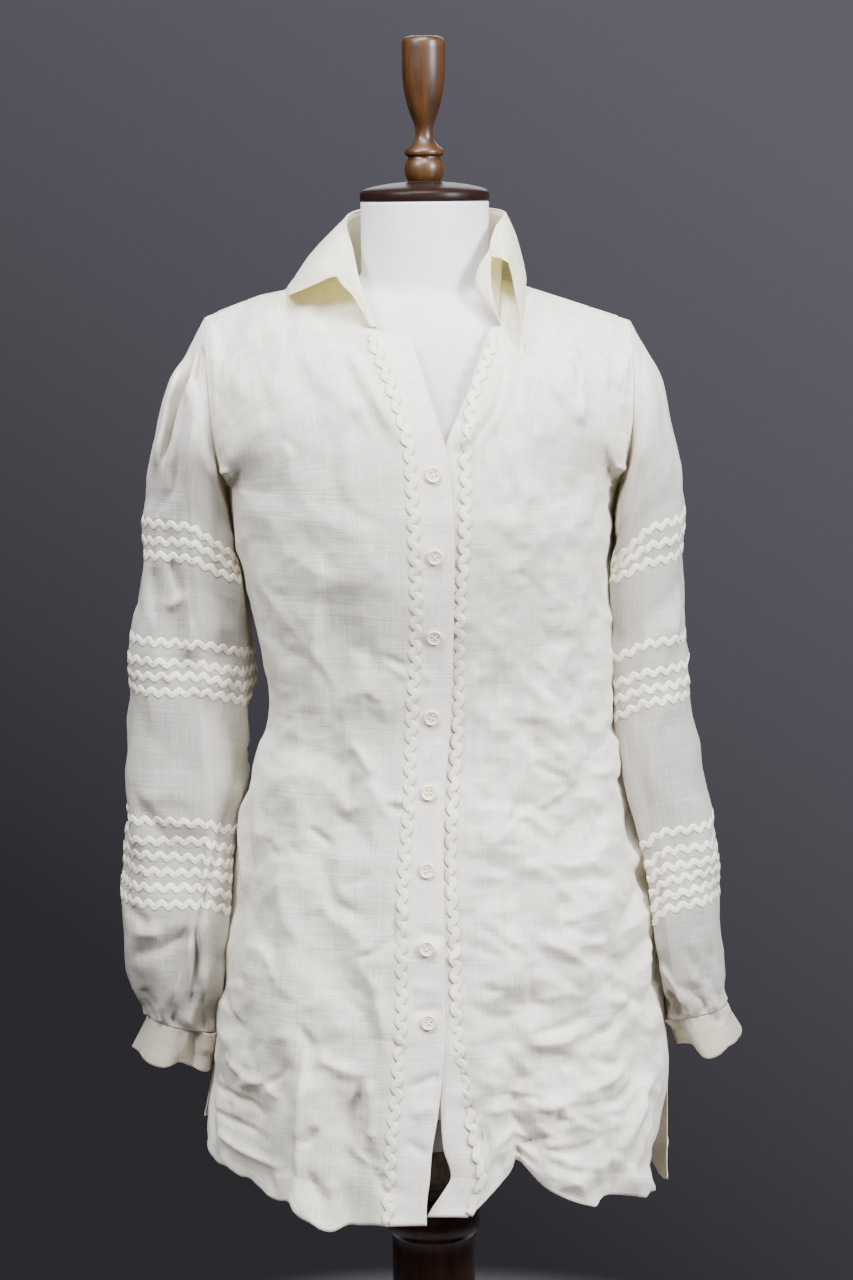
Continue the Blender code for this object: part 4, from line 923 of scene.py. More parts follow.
def shoulder_height(x):
    """Height of the shoulder ridge over a point across the body."""
    tip_x, tip_z, neck_x, neck_z = shoulder_ends(x)
    return tip_z + (tip_x - np.abs(x)) * (neck_z - tip_z) / (tip_x - neck_x)


def half_width(sign, z):
    """How far the shell reaches to a side."""
    return by_side(sign, curve(BODY, z, 1), curve(BODY, z, 2))


def shell_y(x, z, front, inset=0.0, crown_inset=0.0, roundness=None):
    """Where the shell's front or back lies, at places seen from the front."""
    depth = curve(BODY, z, 3 if front else 4) - inset
    grown = ease((z - CHEST) / (CROWN_RISE if crown_inset >= 0 else SPREAD_RISE))
    width = half_width(x, z) - inset + (CROWN_GROWTH - crown_inset) * grown
    power = curve(BODY, z, 5)
    across = np.maximum(1 - (np.abs(x) / width) ** power, 0.0) ** (1 / power)
    roundness = roundness or (FRONT_ROUND if front else BACK_ROUND)
    rise = np.clip((z - CHEST) / (shoulder_height(x) - inset - CHEST), 0.0, 1.0)
    across = across * (1 - rise**roundness) ** (1 / roundness)
    return -depth * across if front else depth * across


def fold_heights(x, z, front):
    """How far the folds and darts move the cloth outwards."""
    height = np.zeros(x.shape)
    for hem_x, top_x, top_z, half, rise in FRONT_FOLDS if front else BACK_FOLDS:
        t = (z - FOLD_FOOT) / (top_z - FOLD_FOOT)
        line = mix(hem_x, top_x, np.maximum(t, 0.0))
        height += rise * ease(1 - t) * bump(x - line, half)
    for low_x, high_x, low, high, half, depth in FRONT_DARTS if front else BACK_DARTS:
        t = np.clip((z - low) / (high - low), 0.0, 1.0)
        height -= depth * np.sin(np.pi * t) * bump(x - mix(low_x, high_x, t), half)
    return height


def body_levels(hem):
    """Heights of a panel's rows up to the chest, a column for each place along the hem."""
    low = np.linspace(0, 1, LOWER_ROWS, endpoint=False)[:, None]
    body = np.linspace(SLIT_TOP, CHEST, BODY_ROWS + 1)[:, None]
    return np.concatenate([mix(hem[None, :], SLIT_TOP, low), np.repeat(body, len(hem), axis=1)])


def armhole_view(sign, step):
    """The armhole seen from the front: x and z at one of the upper steps."""
    rise = (1 - np.cos(np.pi * step / UPPER_STEPS)) / 2
    x = by_side(sign, -curve(ARMHOLE, rise, 1), curve(ARMHOLE, rise, 2))
    return x, mix(CHEST, SIDES["right"]["tip"][1], rise)


def armhole_y(step, front):
    """How far before or behind the middle the armhole lies."""
    swing = np.sin(np.pi * step / UPPER_STEPS)
    return -ARMHOLE_FRONT * swing if front else ARMHOLE_BACK * swing


def armhole_turn(s):
    """How far the cloth beside an armhole has turned in to it."""
    pull = mix(*ARMHOLE_PULL, ease(UPPER / PULL_STEPS))
    return ease((s - 1 + pull) / pull)


def section_x(start_x, sign, z, s):
    """x across a section, evenly spaced round it, from a start to the side."""
    width = half_width(sign, z)
    power = curve(BODY, z, 5)
    begin = np.arcsin((np.abs(start_x) / width) ** (power / 2))
    return width * np.sin(mix(begin, np.pi / 2, s)) ** (2 / power)


def front_edge(name, step):
    """The front's inner edge above the chest: its band's seam, then the neckline."""
    side = SIDES[name]
    band_z = mix(CHEST, side["band_top"], np.minimum(step / NECK_STEP, 1.0))
    band_x = curve(CLOSURE, band_z, side["seam"])
    turn = np.clip((step - NECK_STEP) / (UPPER_STEPS - NECK_STEP), 0.0, 1.0) * np.pi / 2
    start = abs(curve(CLOSURE, side["band_top"], side["seam"]))
    neck_x = side["sign"] * mix(start, side["neck"][0], 1 - np.cos(turn))
    neck_z = mix(side["band_top"], side["neck"][1], np.sin(turn))
    on_band = step <= NECK_STEP
    return np.where(on_band, band_x, neck_x), np.where(on_band, band_z, neck_z)


def side_move(sign, z):
    """How far out a side seam moves."""
    return by_side(sign, curve(SIDE_MOVES["right"], z), curve(SIDE_MOVES["left"], z))


def moved_side(sign, z, s, front):
    """How far across a panel's places move, most of all at its side."""
    corner = by_side(sign, 0.0, curve(CORNER_FRONT if front else CORNER_BACK, z))
    return sign * (side_move(sign, z) + corner) * ease((s - 0.5) / 0.5)


def swell(x, z):
    """How far the cloth over the right shoulder rises."""
    share = ease((z - SWELL_FOOT) / (shoulder_height(x) - SWELL_FOOT))
    return np.where(x < 0, straight(SHOULDER_SWELL, np.abs(x)) * share, 0.0)


def slit_share(z):
    """How open a slit is at each height."""
    return np.clip((SLIT_TOP - z) / SLIT_REACH, 0.0, 1.0)


def cloth_y(x, z, front):
    """Where the cloth above the chest lies."""
    return shell_y(x, z, front, 0.0, -CHEST_SPREAD)


def panel(lower, x, z, side_x, side_z, s, front, seam):
    """A panel's points: its lower part, and above the chest its places, drawn to the armhole."""
    shift = armhole_y(UPPER, front) - cloth_y(side_x, side_z, front)
    y = cloth_y(x, z, front) + shift * armhole_turn(s)
    y[-1] += seam
    return np.concatenate([lower, np.stack([x, y, z + swell(x, z)], axis=-1)])


def front_panel(name):
    """Points of a front without its creases: rows from the hem up, columns from the band out."""
    side = SIDES[name]
    sign = side["sign"]
    s = np.linspace(0, 1, FRONT_COLUMNS + 1)
    z = body_levels(curve(HEMS[name], s))
    x = sign * section_x(curve(CLOSURE, z, side["seam"]), sign, z, s)
    spread = (SLIT_SPREAD * slit_share(z) + SEAM / 2) * np.clip((s - 1) * FRONT_EDGE + 1, 0, 1)
    y = shell_y(x, z, True) - spread
    lower = np.stack([x + moved_side(sign, z, s, True), y, z], axis=-1)
    share = np.abs(x[-1] - x[-1, 0]) / abs(x[-1, -1] - x[-1, 0])
    inner_x, inner_z = front_edge(name, UPPER)
    outer_x, outer_z = armhole_view(sign, UPPER)
    share = mix(share, s, UPPER / UPPER_STEPS)
    x, z = mix(inner_x, outer_x, share), mix(inner_z, outer_z, share)
    return panel(lower, x, z, outer_x, outer_z, s, True, -SEAM / 2)


def back_panel():
    """Points of the back without its creases: columns from the right side to the left."""
    place = np.linspace(-1, 1, 2 * BACK_HALF_COLUMNS + 1)
    s, sign = np.abs(place), np.where(place < 0, -1, 1)
    z = body_levels(curve(HEM_BACK, place))
    x = sign * section_x(0.0, sign, z, s)
    weight = np.clip((s - 1) * BACK_EDGE + 1, 0, 1)
    y = shell_y(x, z, False) + (SLIT_SPREAD * slit_share(z) + SEAM / 2) * weight
    flare = sign * SLIT_FLARE * slit_share(z) * weight
    lower = np.stack([x + flare + moved_side(sign, z, s, False), y, z], axis=-1)
    tip_x, tip_z, neck_x, neck_z = shoulder_ends(sign)
    neck_share = s / BACK_NECK_SHARE
    on_neck = neck_share < 1
    shoulder_share = (neck_share - 1) / (1 / BACK_NECK_SHARE - 1)
    on_shoulder = mix(neck_x, tip_x, shoulder_share)
    top_x = np.where(on_neck, neck_x * np.sin(np.pi / 2 * neck_share), on_shoulder)
    neck_rise = mix(BACK_NECK_HEIGHT, neck_z, np.minimum(top_x / neck_x, 1) ** 2)
    top_z = np.where(on_neck, neck_rise, shoulder_height(sign * top_x))
    share = np.abs(x[-1]) / half_width(sign, CHEST)
    outer_x, outer_z = armhole_view(sign, UPPER)
    x = outer_x * mix(share, top_x / tip_x, UPPER / UPPER_STEPS)
    edge_share = (outer_z - CHEST) / (tip_z - CHEST)
    z = mix(CHEST, top_z, mix(np.sin(np.pi / 2 * UPPER / UPPER_STEPS), edge_share, s))
    return panel(lower, x, z, outer_x, outer_z, s, False, np.where(on_neck, 0.0, SEAM / 2))


# ---- creasing the panels


def crumple(grid, name, share):
    """Height of the crumpled cloth over a panel, in three sizes of facet."""
    seed, most, weights = CRUMPLED[name]
    places = flat_map(grid)
    height = 0.0
    for number, (weight, sizes) in enumerate(zip(weights, FACETS)):
        height = height + weight * facets(*places, seed=seed + number, **sizes)
    return height * (share * most)


def hem_step(z, hem, s):
    """The turned hem's double cloth, and the groove of its stitches."""
    above = z - curve(hem, s)
    step = HEM_STEP * ease((HEM_DEPTH + 1 - above) / 2)
    return step - HEM_GROOVE * bump(above - HEM_STITCH, 0.8)


def seam_dip():
    """How far the cloth sinks into its outer seam: less round the armhole."""
    return np.where(STEP_OF_ROW > 0, ARMHOLE_DIP, SEAM_DIP)


def top_fade():
    """The creases die away towards the shoulder seam and the neck."""
    return ease((UPPER_STEPS - STEP_OF_ROW) / 1.5)


def keep_clear(lift, z):
    """A crease's height, kept from sinking into the form."""
    return np.maximum(lift, -curve(TROUGH, z))


def creased_front(name):
    """A front with its lap, folds and creases: points and normals."""
    plain = front_panel(name)
    x, z = plain[..., 0], plain[..., 2]
    s = np.linspace(0, 1, FRONT_COLUMNS + 1)[None, :]
    inner, outer = ease(s * FRONT_EDGE), ease((1 - s) * FRONT_EDGE)
    lap = 0.0
    if name == "right":
        lap = LAP * ease(1 - np.abs(x - x[:, :1]) / LAP_FADE)
        lap = lap * ease((UPPER_STEPS - STEP_OF_ROW) / LAP_STEPS)
    folds = np.where(STEP_OF_ROW > 0, 0.0, fold_heights(x, z, True)) * inner
    height = folds + crease_heights(x, z, CREASES_RIGHT if name == "right" else CREASES_LEFT)
    share = curve(CRUMPLE, z) * mix(CALM_SHARE, 1.0, ease(np.abs(x - x[:, :1]) / CALM_REACH))
    calm = bump(z - UNDERARM_CALM[0], UNDERARM_CALM[1])
    if name == "left":
        calm = calm + ease((SLIT_CALM[0] - z) / SLIT_CALM[1])
    share = share * (1 - SIDE_CALM * ease((s - 0.75) * 6) * calm)
    height += crumple(plain, name, share)
    height = keep_clear(height, z) * outer * top_fade()
    height += hem_step(z, HEMS[name], s) - seam_dip() * bump((1 - s) * SIDE_REACH, 1.2)
    return raised(plain, lap + height, INSIDE)


def creased_back():
    """The back with its folds and creases: points and normals."""
    plain = back_panel()
    x, z = plain[..., 0], plain[..., 2]
    place = np.linspace(-1, 1, 2 * BACK_HALF_COLUMNS + 1)[None, :]
    outer = ease((1 - np.abs(place)) * BACK_EDGE)
    height = np.where(STEP_OF_ROW > 0, 0.0, fold_heights(x, z, False))
    height += crease_heights(x, z, scattered("back"))
    height += crumple(plain, "back", curve(CRUMPLE, z))
    height = keep_clear(height, z) * outer * top_fade()
    height += hem_step(z, HEM_BACK, place) - seam_dip() * bump((1 - np.abs(place)) * SIDE_REACH, 1.2)
    return raised(plain, height, INSIDE)


def creased_band(name, grid):
    """The band along a front, from its seam to its free edge."""
    side = SIDES[name]
    rows = NECK_ROW + 1
    seam = grid[:rows, 0] + np.array([-side["sign"] * SEAM, 0.0, 0.0])
    z = seam[:, 2]
    foot, reach = BAND_TOP
    fall = BAND_TOP_DROP * ease((z - foot) / reach) if name == "right" else 0.0
    edge_x = curve(CLOSURE, z - fall, side["edge"])
    edge_y = cloth_y(edge_x, z - fall, True)
    if name == "right":
        edge_y -= LAP * ease((UPPER_STEPS - 2 - STEP_OF_ROW[:rows, 0]) / (LAP_STEPS - 2))
    else:
        edge_y += curve(CLOSURE, z, 5)
    edge = np.stack([edge_x, edge_y, z - fall], axis=-1)
    t = np.linspace(0, 1, BAND_COLUMNS + 1)
    band = mix(seam[:, None, :], edge[:, None, :], t[None, :, None])
    x, z = band[..., 0], band[..., 2]
    inner, outer = BAND_STITCHES
    grooves = bump((t - inner) * BAND_WIDTH, 0.7) + bump((t - outer) * BAND_WIDTH, 0.7)
    height = -BAND_GROOVE * grooves[None, :]
    height = height + crease_heights(x, z, CREASES_BAND) * ease(t * 3) * ease(3.5 - 3 * t)
    height = height + facets(x, z, **BAND_FACETS) * ease(t * 3)
    return raised(band, height, INSIDE)


# ---- sleeves and cuffs


def underarm_share(step):
    """How much of a turn a place round the armhole makes: 1 at the underarm."""
    return ease(1 - np.minimum(step, 2 * UPPER_STEPS - step) / UNDERARM_STEPS)


def armhole_loop(front, front_normals, back, back_normals, back_column):
    """The armhole's edge: up the front from the underarm, down the back."""
    half = UPPER_STEPS * FINE
    up = slice(CHEST_ROW, CHEST_ROW + half + 1)
    down = np.arange(CHEST_ROW + half - 1, CHEST_ROW, -1)
    beside = 1 if back_column == 0 else -2
    points = np.concatenate([front[up, -1], back[down, back_column]])
    before = np.concatenate([front[up, -2], back[down, beside]])
    normals = np.concatenate([front_normals[up, -1], back_normals[down, back_column]])
    away = unit(points - before)
    under = underarm_share(AROUND)[:, None]
    return points + (away * (1 - under) + normals * under) * SLEEVE_GAP


def numbered(rows):
    """A table with its rows' numbers as first column."""
    return [(number, *row) for number, row in enumerate(rows)]


def sleeve_grid(name, armhole):
    """A full sleeve's points: rings from the armhole to the wrist."""
    last = len(SLEEVES[name]) - 1
    rows = numbered(SLEEVES[name])
    v = np.linspace(0, last, SLEEVE_ROWS + 1)[:, None]
    outer_x, outer_z, inner_x, inner_z, front, back, middle = [
        curve(rows, v, c) for c in range(1, 8)
    ]
    angle = np.pi * AROUND / UPPER_STEPS
    c, s = np.cos(angle), np.sin(angle)
    sharp = mix(1.0, 2 / SLEEVE_POWER, ease(v - 0.5))
    inward = (1 + np.sign(c) * np.abs(c) ** sharp) / 2
    depth = np.sign(s) * np.abs(s) ** sharp
    step = np.minimum(AROUND, 2 * UPPER_STEPS - AROUND)
    ridge, low = curve(RIDGE_PLACE, v), curve(RIDGE_PLACE, v, 2)
    on_inner = step < RIDGE_STEP
    way, high_depth, low_depth = [
        np.where(on_inner, curve(INNER_FACE[name], step, c), curve(OUTER_FACE, step, c))
        for c in (1, 2, 3)
    ]
    flat_inward = ridge + way * np.where(on_inner, 1 - ridge, -ridge)
    flat = ease((v - 1.2) / 2.5) * ease((last - 0.6 - v) / 2.2) * (AROUND < UPPER_STEPS)
    inward = mix(inward, flat_inward, flat)
    depth = mix(depth, mix(high_depth, low_depth, low), flat)
    drop = FLAT_DROP[name]
    before = drop * inward / ridge
    after = drop + (1 - drop) * (inward - ridge) / (1 - ridge)
    fall = mix(inward, np.where(inward < ridge, before, after), flat)
    front = front + FULLNESS * bump(v - 2.2, 1.3)
    inner_x = inner_x - curve(SLEEVE_LEAN[name], inner_z)
    x = SIDES[name]["sign"] * mix(outer_x, inner_x, inward)
    y = middle - np.where(depth > 0, front, back) * depth
    rings = np.stack([x, y, mix(outer_z, inner_z, fall)], axis=-1)
    rings = rings + (armhole - rings[0]) * ease(1 - v / SLEEVE_START)[..., None]
    return rings, v, last


def beside_body(points, sign, share):
    """Moves a sleeve's points out of the body's side, as cloth that lies against it."""
    x, y, z = points[..., 0], points[..., 1], points[..., 2]
    depth = np.where(y < 0, curve(BODY, z, 3), curve(BODY, z, 4))
    power = curve(BODY, z, 5)
    reach = half_width(sign, z) + np.maximum(side_move(sign, z), 0.0)
    reach = reach * np.maximum(1 - (np.abs(y) / depth) ** power, 0.0) ** (1 / power)
    gap = x * sign - reach - TOUCH
    moved = points.copy()
    moved[..., 0] = x + sign * share * np.maximum(-gap, 0.0)
    return moved


def creased_sleeve(name, armhole):
    """A sleeve with its pleats, gathers and creases: points, normals and rows of the table."""
    rings, v, last = sleeve_grid(name, armhole)
    normals = grid_normals(rings, rings.mean(axis=1, keepdims=True), closed=True)
    angle = np.pi * AROUND / UPPER_STEPS
    chance = np.random.RandomState(PLEAT_SEEDS[name])
    pleat_of = ((AROUND + 0.5) // 2).astype(int) % UPPER_STEPS
    wave = np.cos(np.pi * AROUND) * chance.uniform(0.5, 1.25, UPPER_STEPS)[pleat_of]
    upper = np.sqrt(np.maximum(-np.cos(angle), 0.0))
    pleat = CAP_PLEAT * np.sin(np.pi * np.minimum(v / CAP_ROWS, 1.0)) * upper
    flat = ease((last - v) / WRIST_FLAT)
    height = wave * (pleat + WRIST_GATHER * ease(1 - (last - v) / WRIST_ROWS) * flat)
    # two sets of gathers, uneven in their spacing, beat against each other
    sway = 0.9 * np.sin(2 * angle) + 0.5 * np.sin(5 * angle + 1)
    fine = np.cos(WRIST_FINE * angle + sway) + 0.6 * np.cos((WRIST_FINE - 8) * angle + 2)
    height = height + FINE_GATHER * fine * ease(1 - (last - v) / FINE_GATHER_ROWS) * flat
    facing = ease(AROUND * 1.5) * ease((UPPER_STEPS - AROUND) * 1.5)
    table = CREASES_SLEEVE_RIGHT if name == "right" else CREASES_SLEEVE_LEFT
    marks = crease_heights(rings[..., 0], rings[..., 2], table) * facing
    across = lengths_along(rings[SLEEVE_ROWS // 2])[None, :] + 0 * v
    along = lengths_along(rings[:, FINE * UPPER_STEPS // 2])[:, None] + 0 * across
    inside = ease(v / 1.5) * ease((last - v) / 1.2)
    for seed, sizes in zip(SLEEVE_SEEDS[name], SLEEVE_FACETS):
        height += facets(across, along, seed=seed, **sizes) * inside
    height += crease_heights(across, along, scattered(name)) * (1 - facing)
    outer = rings + normals * height[..., None] + unit(normals * MARK_WAY) * marks[..., None]
    outer = beside_body(outer, SIDES[name]["sign"], ease(v / 3))
    centres = outer.mean(axis=1, keepdims=True)
    return outer, grid_normals(outer, centres, closed=True), v[:, 0]


def cuff_grid(name, sleeve_outer):
    """A band gathered onto the sleeve, its two ends lapped at the back."""
    lower = CUFFS[name]
    sign = SIDES[name]["sign"]
    (outer_x, outer_z), (inner_x, inner_z) = lower["outer"], lower["inner"]
    count = 2 * UPPER_STEPS
    k = np.arange((count + CUFF_LAP) * FINE + 1) / FINE
    i = (CUFF_START + k) % count
    inward = (1 + np.cos(np.pi * i / UPPER_STEPS)) / 2
    ahead = np.sin(np.pi * i / UPPER_STEPS)
    depth = np.where(ahead > 0, lower["front"], lower["back"]) * ahead
    bottom_x = sign * mix(outer_x, inner_x, inward)
    bottom = np.stack([bottom_x, lower["middle"] - depth, mix(outer_z, inner_z, inward)], axis=-1)
    last_ring = sleeve_outer[-1]
    centre = last_ring.mean(axis=0)
    foot = np.array([sign * (outer_x + inner_x) / 2, lower["middle"], 0.0])
    top = last_ring[np.round(i * FINE).astype(int) % len(last_ring)] - np.array([0, 0, SLEEVE_GAP])
    away = unit((top - centre) * np.array([1, 1, 0]))
    lap = (SOLID_WALL + SLEEVE_GAP) * ease((k - count + CUFF_LAP) / CUFF_LAP)
    dip_at, dip = CUFF_DIP
    swell = 1 - dip * bump(k - count * dip_at, 1.2)
    t = np.linspace(0, 1, CUFF_ROWS + 1)[:, None, None]
    points = mix(top, bottom, t)
    middle = mix(centre, foot, t)
    scale = mix(1.0, swell[None, :, None], t)
    points[..., :2] = (middle + (points - middle) * scale)[..., :2]
    points = points + away * lap[:, None]
    for at, half, rise, out in CUFF_WAVES[name]:
        wave = bump(k - at, half)[:, None] * t**1.5
        points = points + wave * (away * out + np.array([0.0, 0.0, rise]))
    normals = grid_normals(points, centre)
    share = t[..., 0]
    height = crease_heights(points[..., 0], points[..., 2], CREASES_CUFFS[name])
    height *= ease(-normals[..., 1] * 3)
    height += CUFF_PUCKER * np.cos(WRIST_FINE * np.pi * i / UPPER_STEPS) * ease(1 - share * 3)
    for stitch in CUFF_STITCHES:
        height -= BAND_GROOVE * bump((share - stitch) * CUFF_HEIGHT, 0.7)
    return points + normals * height[..., None], normals


# ---- the collar


def neckline(fronts, back):
    """The neck edge from the right front end round the back to the left, and its places."""
    up = slice(NECK_ROW, -1)
    right, left = fronts["right"][0][up, 0], fronts["left"][0][up, 0][::-1]
    reach = round(BACK_HALF_COLUMNS * BACK_NECK_SHARE)
    middle = back[-1, BACK_HALF_COLUMNS - reach:BACK_HALF_COLUMNS + reach + 1]
    points = np.concatenate([right, middle, left])
    count = len(right)
    places = np.concatenate([
        np.arange(count) / count,
        1 + np.arange(2 * reach + 1) / (2 * reach),
        2 + (1 + np.arange(count)) / count,
    ])
    return points, places


def collar_grids(fronts, back):
    """The stand round the neck and the leaf that rolls over it."""
    seam, places = neckline(fronts, back)
    fold, middle, edge = [
        np.stack([curve(COLLAR, places, first + k) for k in range(3)], axis=-1)
        for first in (1, 4, 7)
    ]
    up = np.array([0.0, 0.0, 1.0])
    t = np.linspace(0, 1, STAND_ROWS + 1)[:, None, None]
    stand = mix(seam + up * SLEEVE_GAP, fold, t)
    rise, fall = [ease((places - start) / reach) for start, reach in (SWELL_RISE, SWELL_FALL)]
    near_end = rise * (1 - SWELL_LOSS * fall)
    stand[..., 0] -= curve(STAND_SWELL, t[..., 0]) * near_end
    outward = grid_normals(stand, INSIDE_NECK)[-1]
    leaf_top = fold + outward * (SOLID_WALL + SLEEVE_GAP) + up * SLEEVE_GAP
    roll = np.linspace(np.pi, 0.35, ROLL_ROWS)[:, None, None]
    centre = fold + outward * ROLL_RADIUS * 0.4
    over = centre + ROLL_RADIUS * (np.cos(roll) * outward + np.sin(roll) * up)
    t = np.linspace(0.04, 1, LEAF_ROWS + 1)[:, None, None]
    leaf = leaf_top * (2 * t - 1) * (t - 1) + middle * 4 * t * (1 - t) + edge * t * (2 * t - 1)
    for name, near in (("right", places), ("left", 3 - places)):
        end = np.stack([straight(LEAF_ENDS[name], t[:, 0, 0], k) for k in (1, 2, 3)], axis=-1)
        share = ease(1 - near / LEAF_END_REACH)[None, :, None]
        start = leaf_top[0 if name == "right" else -1] - end[0]
        leaf = mix(leaf, end[:, None, :] + start * (1 - t) ** 4, share)
    leaf = np.concatenate([over, leaf])
    u, v = flat_map(leaf)
    stand = raised(stand, facets(*flat_map(stand), **STAND_FACETS), INSIDE_NECK)
    below = ease((v - 4) / 12)    # the roll at the top stays smooth
    return stand, raised(leaf, facets(u, v, **LEAF_FACETS) * below, INSIDE_LEAF)


# ---- braid, stitches and buttons


def sample(grid, row, column, closed=False):
    """A grid read between its points."""
    rows, columns = grid.shape[:2]
    r = np.clip(np.floor(row).astype(int), 0, rows - 2)
    c = np.floor(column).astype(int)
    if closed:
        c, after = c % columns, (c + 1) % columns
        tc = column - np.floor(column)
    else:
        c = np.clip(c, 0, columns - 2)
        after = c + 1
        tc = column - c
    tr, tc = (row - r)[:, None], tc[:, None]
    low = mix(grid[r, c], grid[r, after], tc)
    high = mix(grid[r + 1, c], grid[r + 1, after], tc)
    return mix(low, high, tr)


def line_on(surface, rows, columns):
    """Points and normals along a line over a creased surface."""
    grid, normals = surface
    rows = np.broadcast_to(np.asarray(rows, dtype=float), np.broadcast(rows, columns).shape)
    columns = np.broadcast_to(np.asarray(columns, dtype=float), rows.shape)
    return sample(grid, rows, columns), unit(sample(normals, rows, columns))


def zigzag(turn):
    """A wave between a sine and a zigzag."""
    return np.arcsin(ZIGZAG * np.sin(turn)) / np.arcsin(ZIGZAG)


def ribbon(middle, normals, half, closed):
    """Points and faces of a woven ribbon along a line that lies on the cloth."""
    if closed:
        along = unit(np.roll(middle, -1, axis=0) - np.roll(middle, 1, axis=0))
    else:
        along = unit(np.gradient(middle, axis=0))
    across = unit(np.cross(normals, along))
    rings = np.stack(
        [middle + across * half * place + normals * BRAID_HEIGHT * rise for place, rise in RIBBON],
        axis=1,
    )
    return rings.reshape(-1, 3), ring_faces(*rings.shape[:2], closed)


def joined(name, parts, material):
    """One object of several parts, each with its own points and faces."""
    vertices, faces, start = [], [], 0
    for points, part_faces in parts:
        vertices.append(points)
        faces += [[start + i for i in face] for face in part_faces]
        start += len(points)
    return make_object(name, np.concatenate(vertices), faces, material)


def sleeve_braids(name, outer, normals, v):
    """All the rows of wavy braid round a sleeve, as one piece."""
    heights = curve(numbered(SLEEVES[name]), v, 2)
    chance = np.random.RandomState(BRAID_SEEDS[name])
    columns = outer.shape[1]
    parts = []
    for height in SLEEVE_BRAIDS[name]:
        row = np.interp(-height, -heights, np.arange(len(v)))
        ring = sample(outer, np.full(columns + 1, row), np.arange(columns + 1.0), closed=True)
        runs = lengths_along(ring)
        waves = round(runs[-1] / BRAID_WAVE)
        places = np.linspace(0, runs[-1], waves * WAVE_POINTS, endpoint=False)
        column = np.interp(places, runs, np.arange(columns + 1.0))
        here, next_row = [
            sample(outer, np.full(len(column), r), column, closed=True) for r in (row, row + 1)
        ]
        pitch = np.linalg.norm(next_row - here, axis=1)
        turn = 2 * np.pi * waves * places / runs[-1] + chance.uniform(0, 6)
        stray, times = SLEEVE_DRIFT
        drift = stray * np.sin(2 * np.pi * places / runs[-1] * times + chance.uniform(0, 6))
        at = row + (SLEEVE_RIBBON["swing"] * zigzag(turn) + drift) / pitch
        middle = sample(outer, at, column, closed=True)
        up = unit(sample(normals, at, column, closed=True))
        parts.append(ribbon(middle, up, SLEEVE_RIBBON["half"], closed=True))
    return joined(f"braid_on_{name}_sleeve", parts, "ric_rac")


def front_braid(name, grid, normals):
    """The wavy braid along the seam between a front and its band."""
    seam = grid[:NECK_ROW + 1, 0]
    across = unit(grid[:NECK_ROW + 1, 2] - grid[:NECK_ROW + 1, 0])
    runs = lengths_along(seam)
    start, end = BRAID_ENDS[0], runs[-1] - BRAID_ENDS[1]
    waves = int((end - start) / FRONT_WAVE)
    places = np.linspace(start, end, waves * WAVE_POINTS + 1)
    row = np.interp(places, runs, np.arange(len(runs)))
    zero = np.zeros(len(row))
    side = unit(sample(across[:, None, :].repeat(2, axis=1), row, zero))
    up = unit(sample(normals, row, zero))
    turn = 2 * np.pi * np.arange(len(places)) / WAVE_POINTS
    swing = FRONT_RIBBON["swing"] * np.sin(turn) + FRONT_DRIFT[0] * np.sin(places / FRONT_DRIFT[1])
    middle = sample(grid, row, zero) + side * swing[:, None] + up * FRONT_LIFT
    part = ribbon(middle, up, FRONT_RIBBON["half"], closed=False)
    return joined(f"braid_beside_{name}_band", [part], "ric_rac")


def line_at(runs, table, places):
    """A line's table of points read at lengths along it."""
    return np.stack([np.interp(places, runs, table[:, k]) for k in range(3)], axis=-1)


def stitch_row(points, normals):
    """Points and faces of the stitches along a line."""
    runs = lengths_along(points)
    count = max(int(runs[-1] / STITCH_PITCH), 1)
    starts = (np.arange(count) + 0.5) * runs[-1] / count
    first = line_at(runs, points, starts - STITCH_LENGTH / 2)
    last = line_at(runs, points, starts + STITCH_LENGTH / 2)
    up = unit(line_at(runs, normals, starts))
    side = unit(np.cross(last - first, up)) * STITCH_RADIUS
    middle = (first + last) / 2
    top = middle + up * STITCH_RADIUS * 1.4
    corners = np.stack([first, last, middle - side, top, middle + side], axis=1)
    faces = [[5 * number + i for i in face] for number in range(count) for face in STITCH_FACES]
    return corners.reshape(-1, 3), faces


def stitches(name, lines):
    """Rows of stitches along lines of points with normals, as one piece of thread."""
    settle(joined(name, [stitch_row(*line) for line in lines], "thread"), [])


def button(name, centre, normal, turn):
    """A round button with a raised rim and four holes, lying on the cloth."""
    normal = unit(np.asarray(normal, dtype=float))
    side = unit(np.cross(normal, np.array([0.0, 0.0, 1.0])))
    up = np.cross(normal, side)
    spin = 2 * np.pi * np.arange(BUTTON_SIDES) / BUTTON_SIDES
    holes = [turn + np.pi / 4 + quarter * np.pi / 2 for quarter in range(4)]
    vertices = []
    for number, (radius, height) in enumerate(BUTTON_RINGS):
        a, b = radius * np.cos(spin), radius * np.sin(spin)
        rise = np.full(BUTTON_SIDES, float(height))
        for angle in holes if number >= HOLED_RING else ():
            near = np.hypot(a - HOLE_PLACE * np.cos(angle), b - HOLE_PLACE * np.sin(angle))
            rise -= HOLE_DEPTH * ease((HOLE_RADIUS + 0.15 - near) / 0.3)
        flat = side * a[:, None] + up * b[:, None]
        vertices.append(centre + flat + normal * (BUTTON_GAP + rise)[:, None])
    faces = ring_faces(len(BUTTON_RINGS), BUTTON_SIDES)
    return make_object(name, np.concatenate(vertices), faces, "shell_button")


# ---- the dress form


def form_depth(x, z, front):
    """How far before or behind the middle the form's surface lies."""
    roundness = FORM_FRONT_ROUND if front else FORM_BACK_ROUND
    return np.abs(shell_y(x, z, front, curve(FORM_INSET, z), FORM_SHOULDER_INSET, roundness))


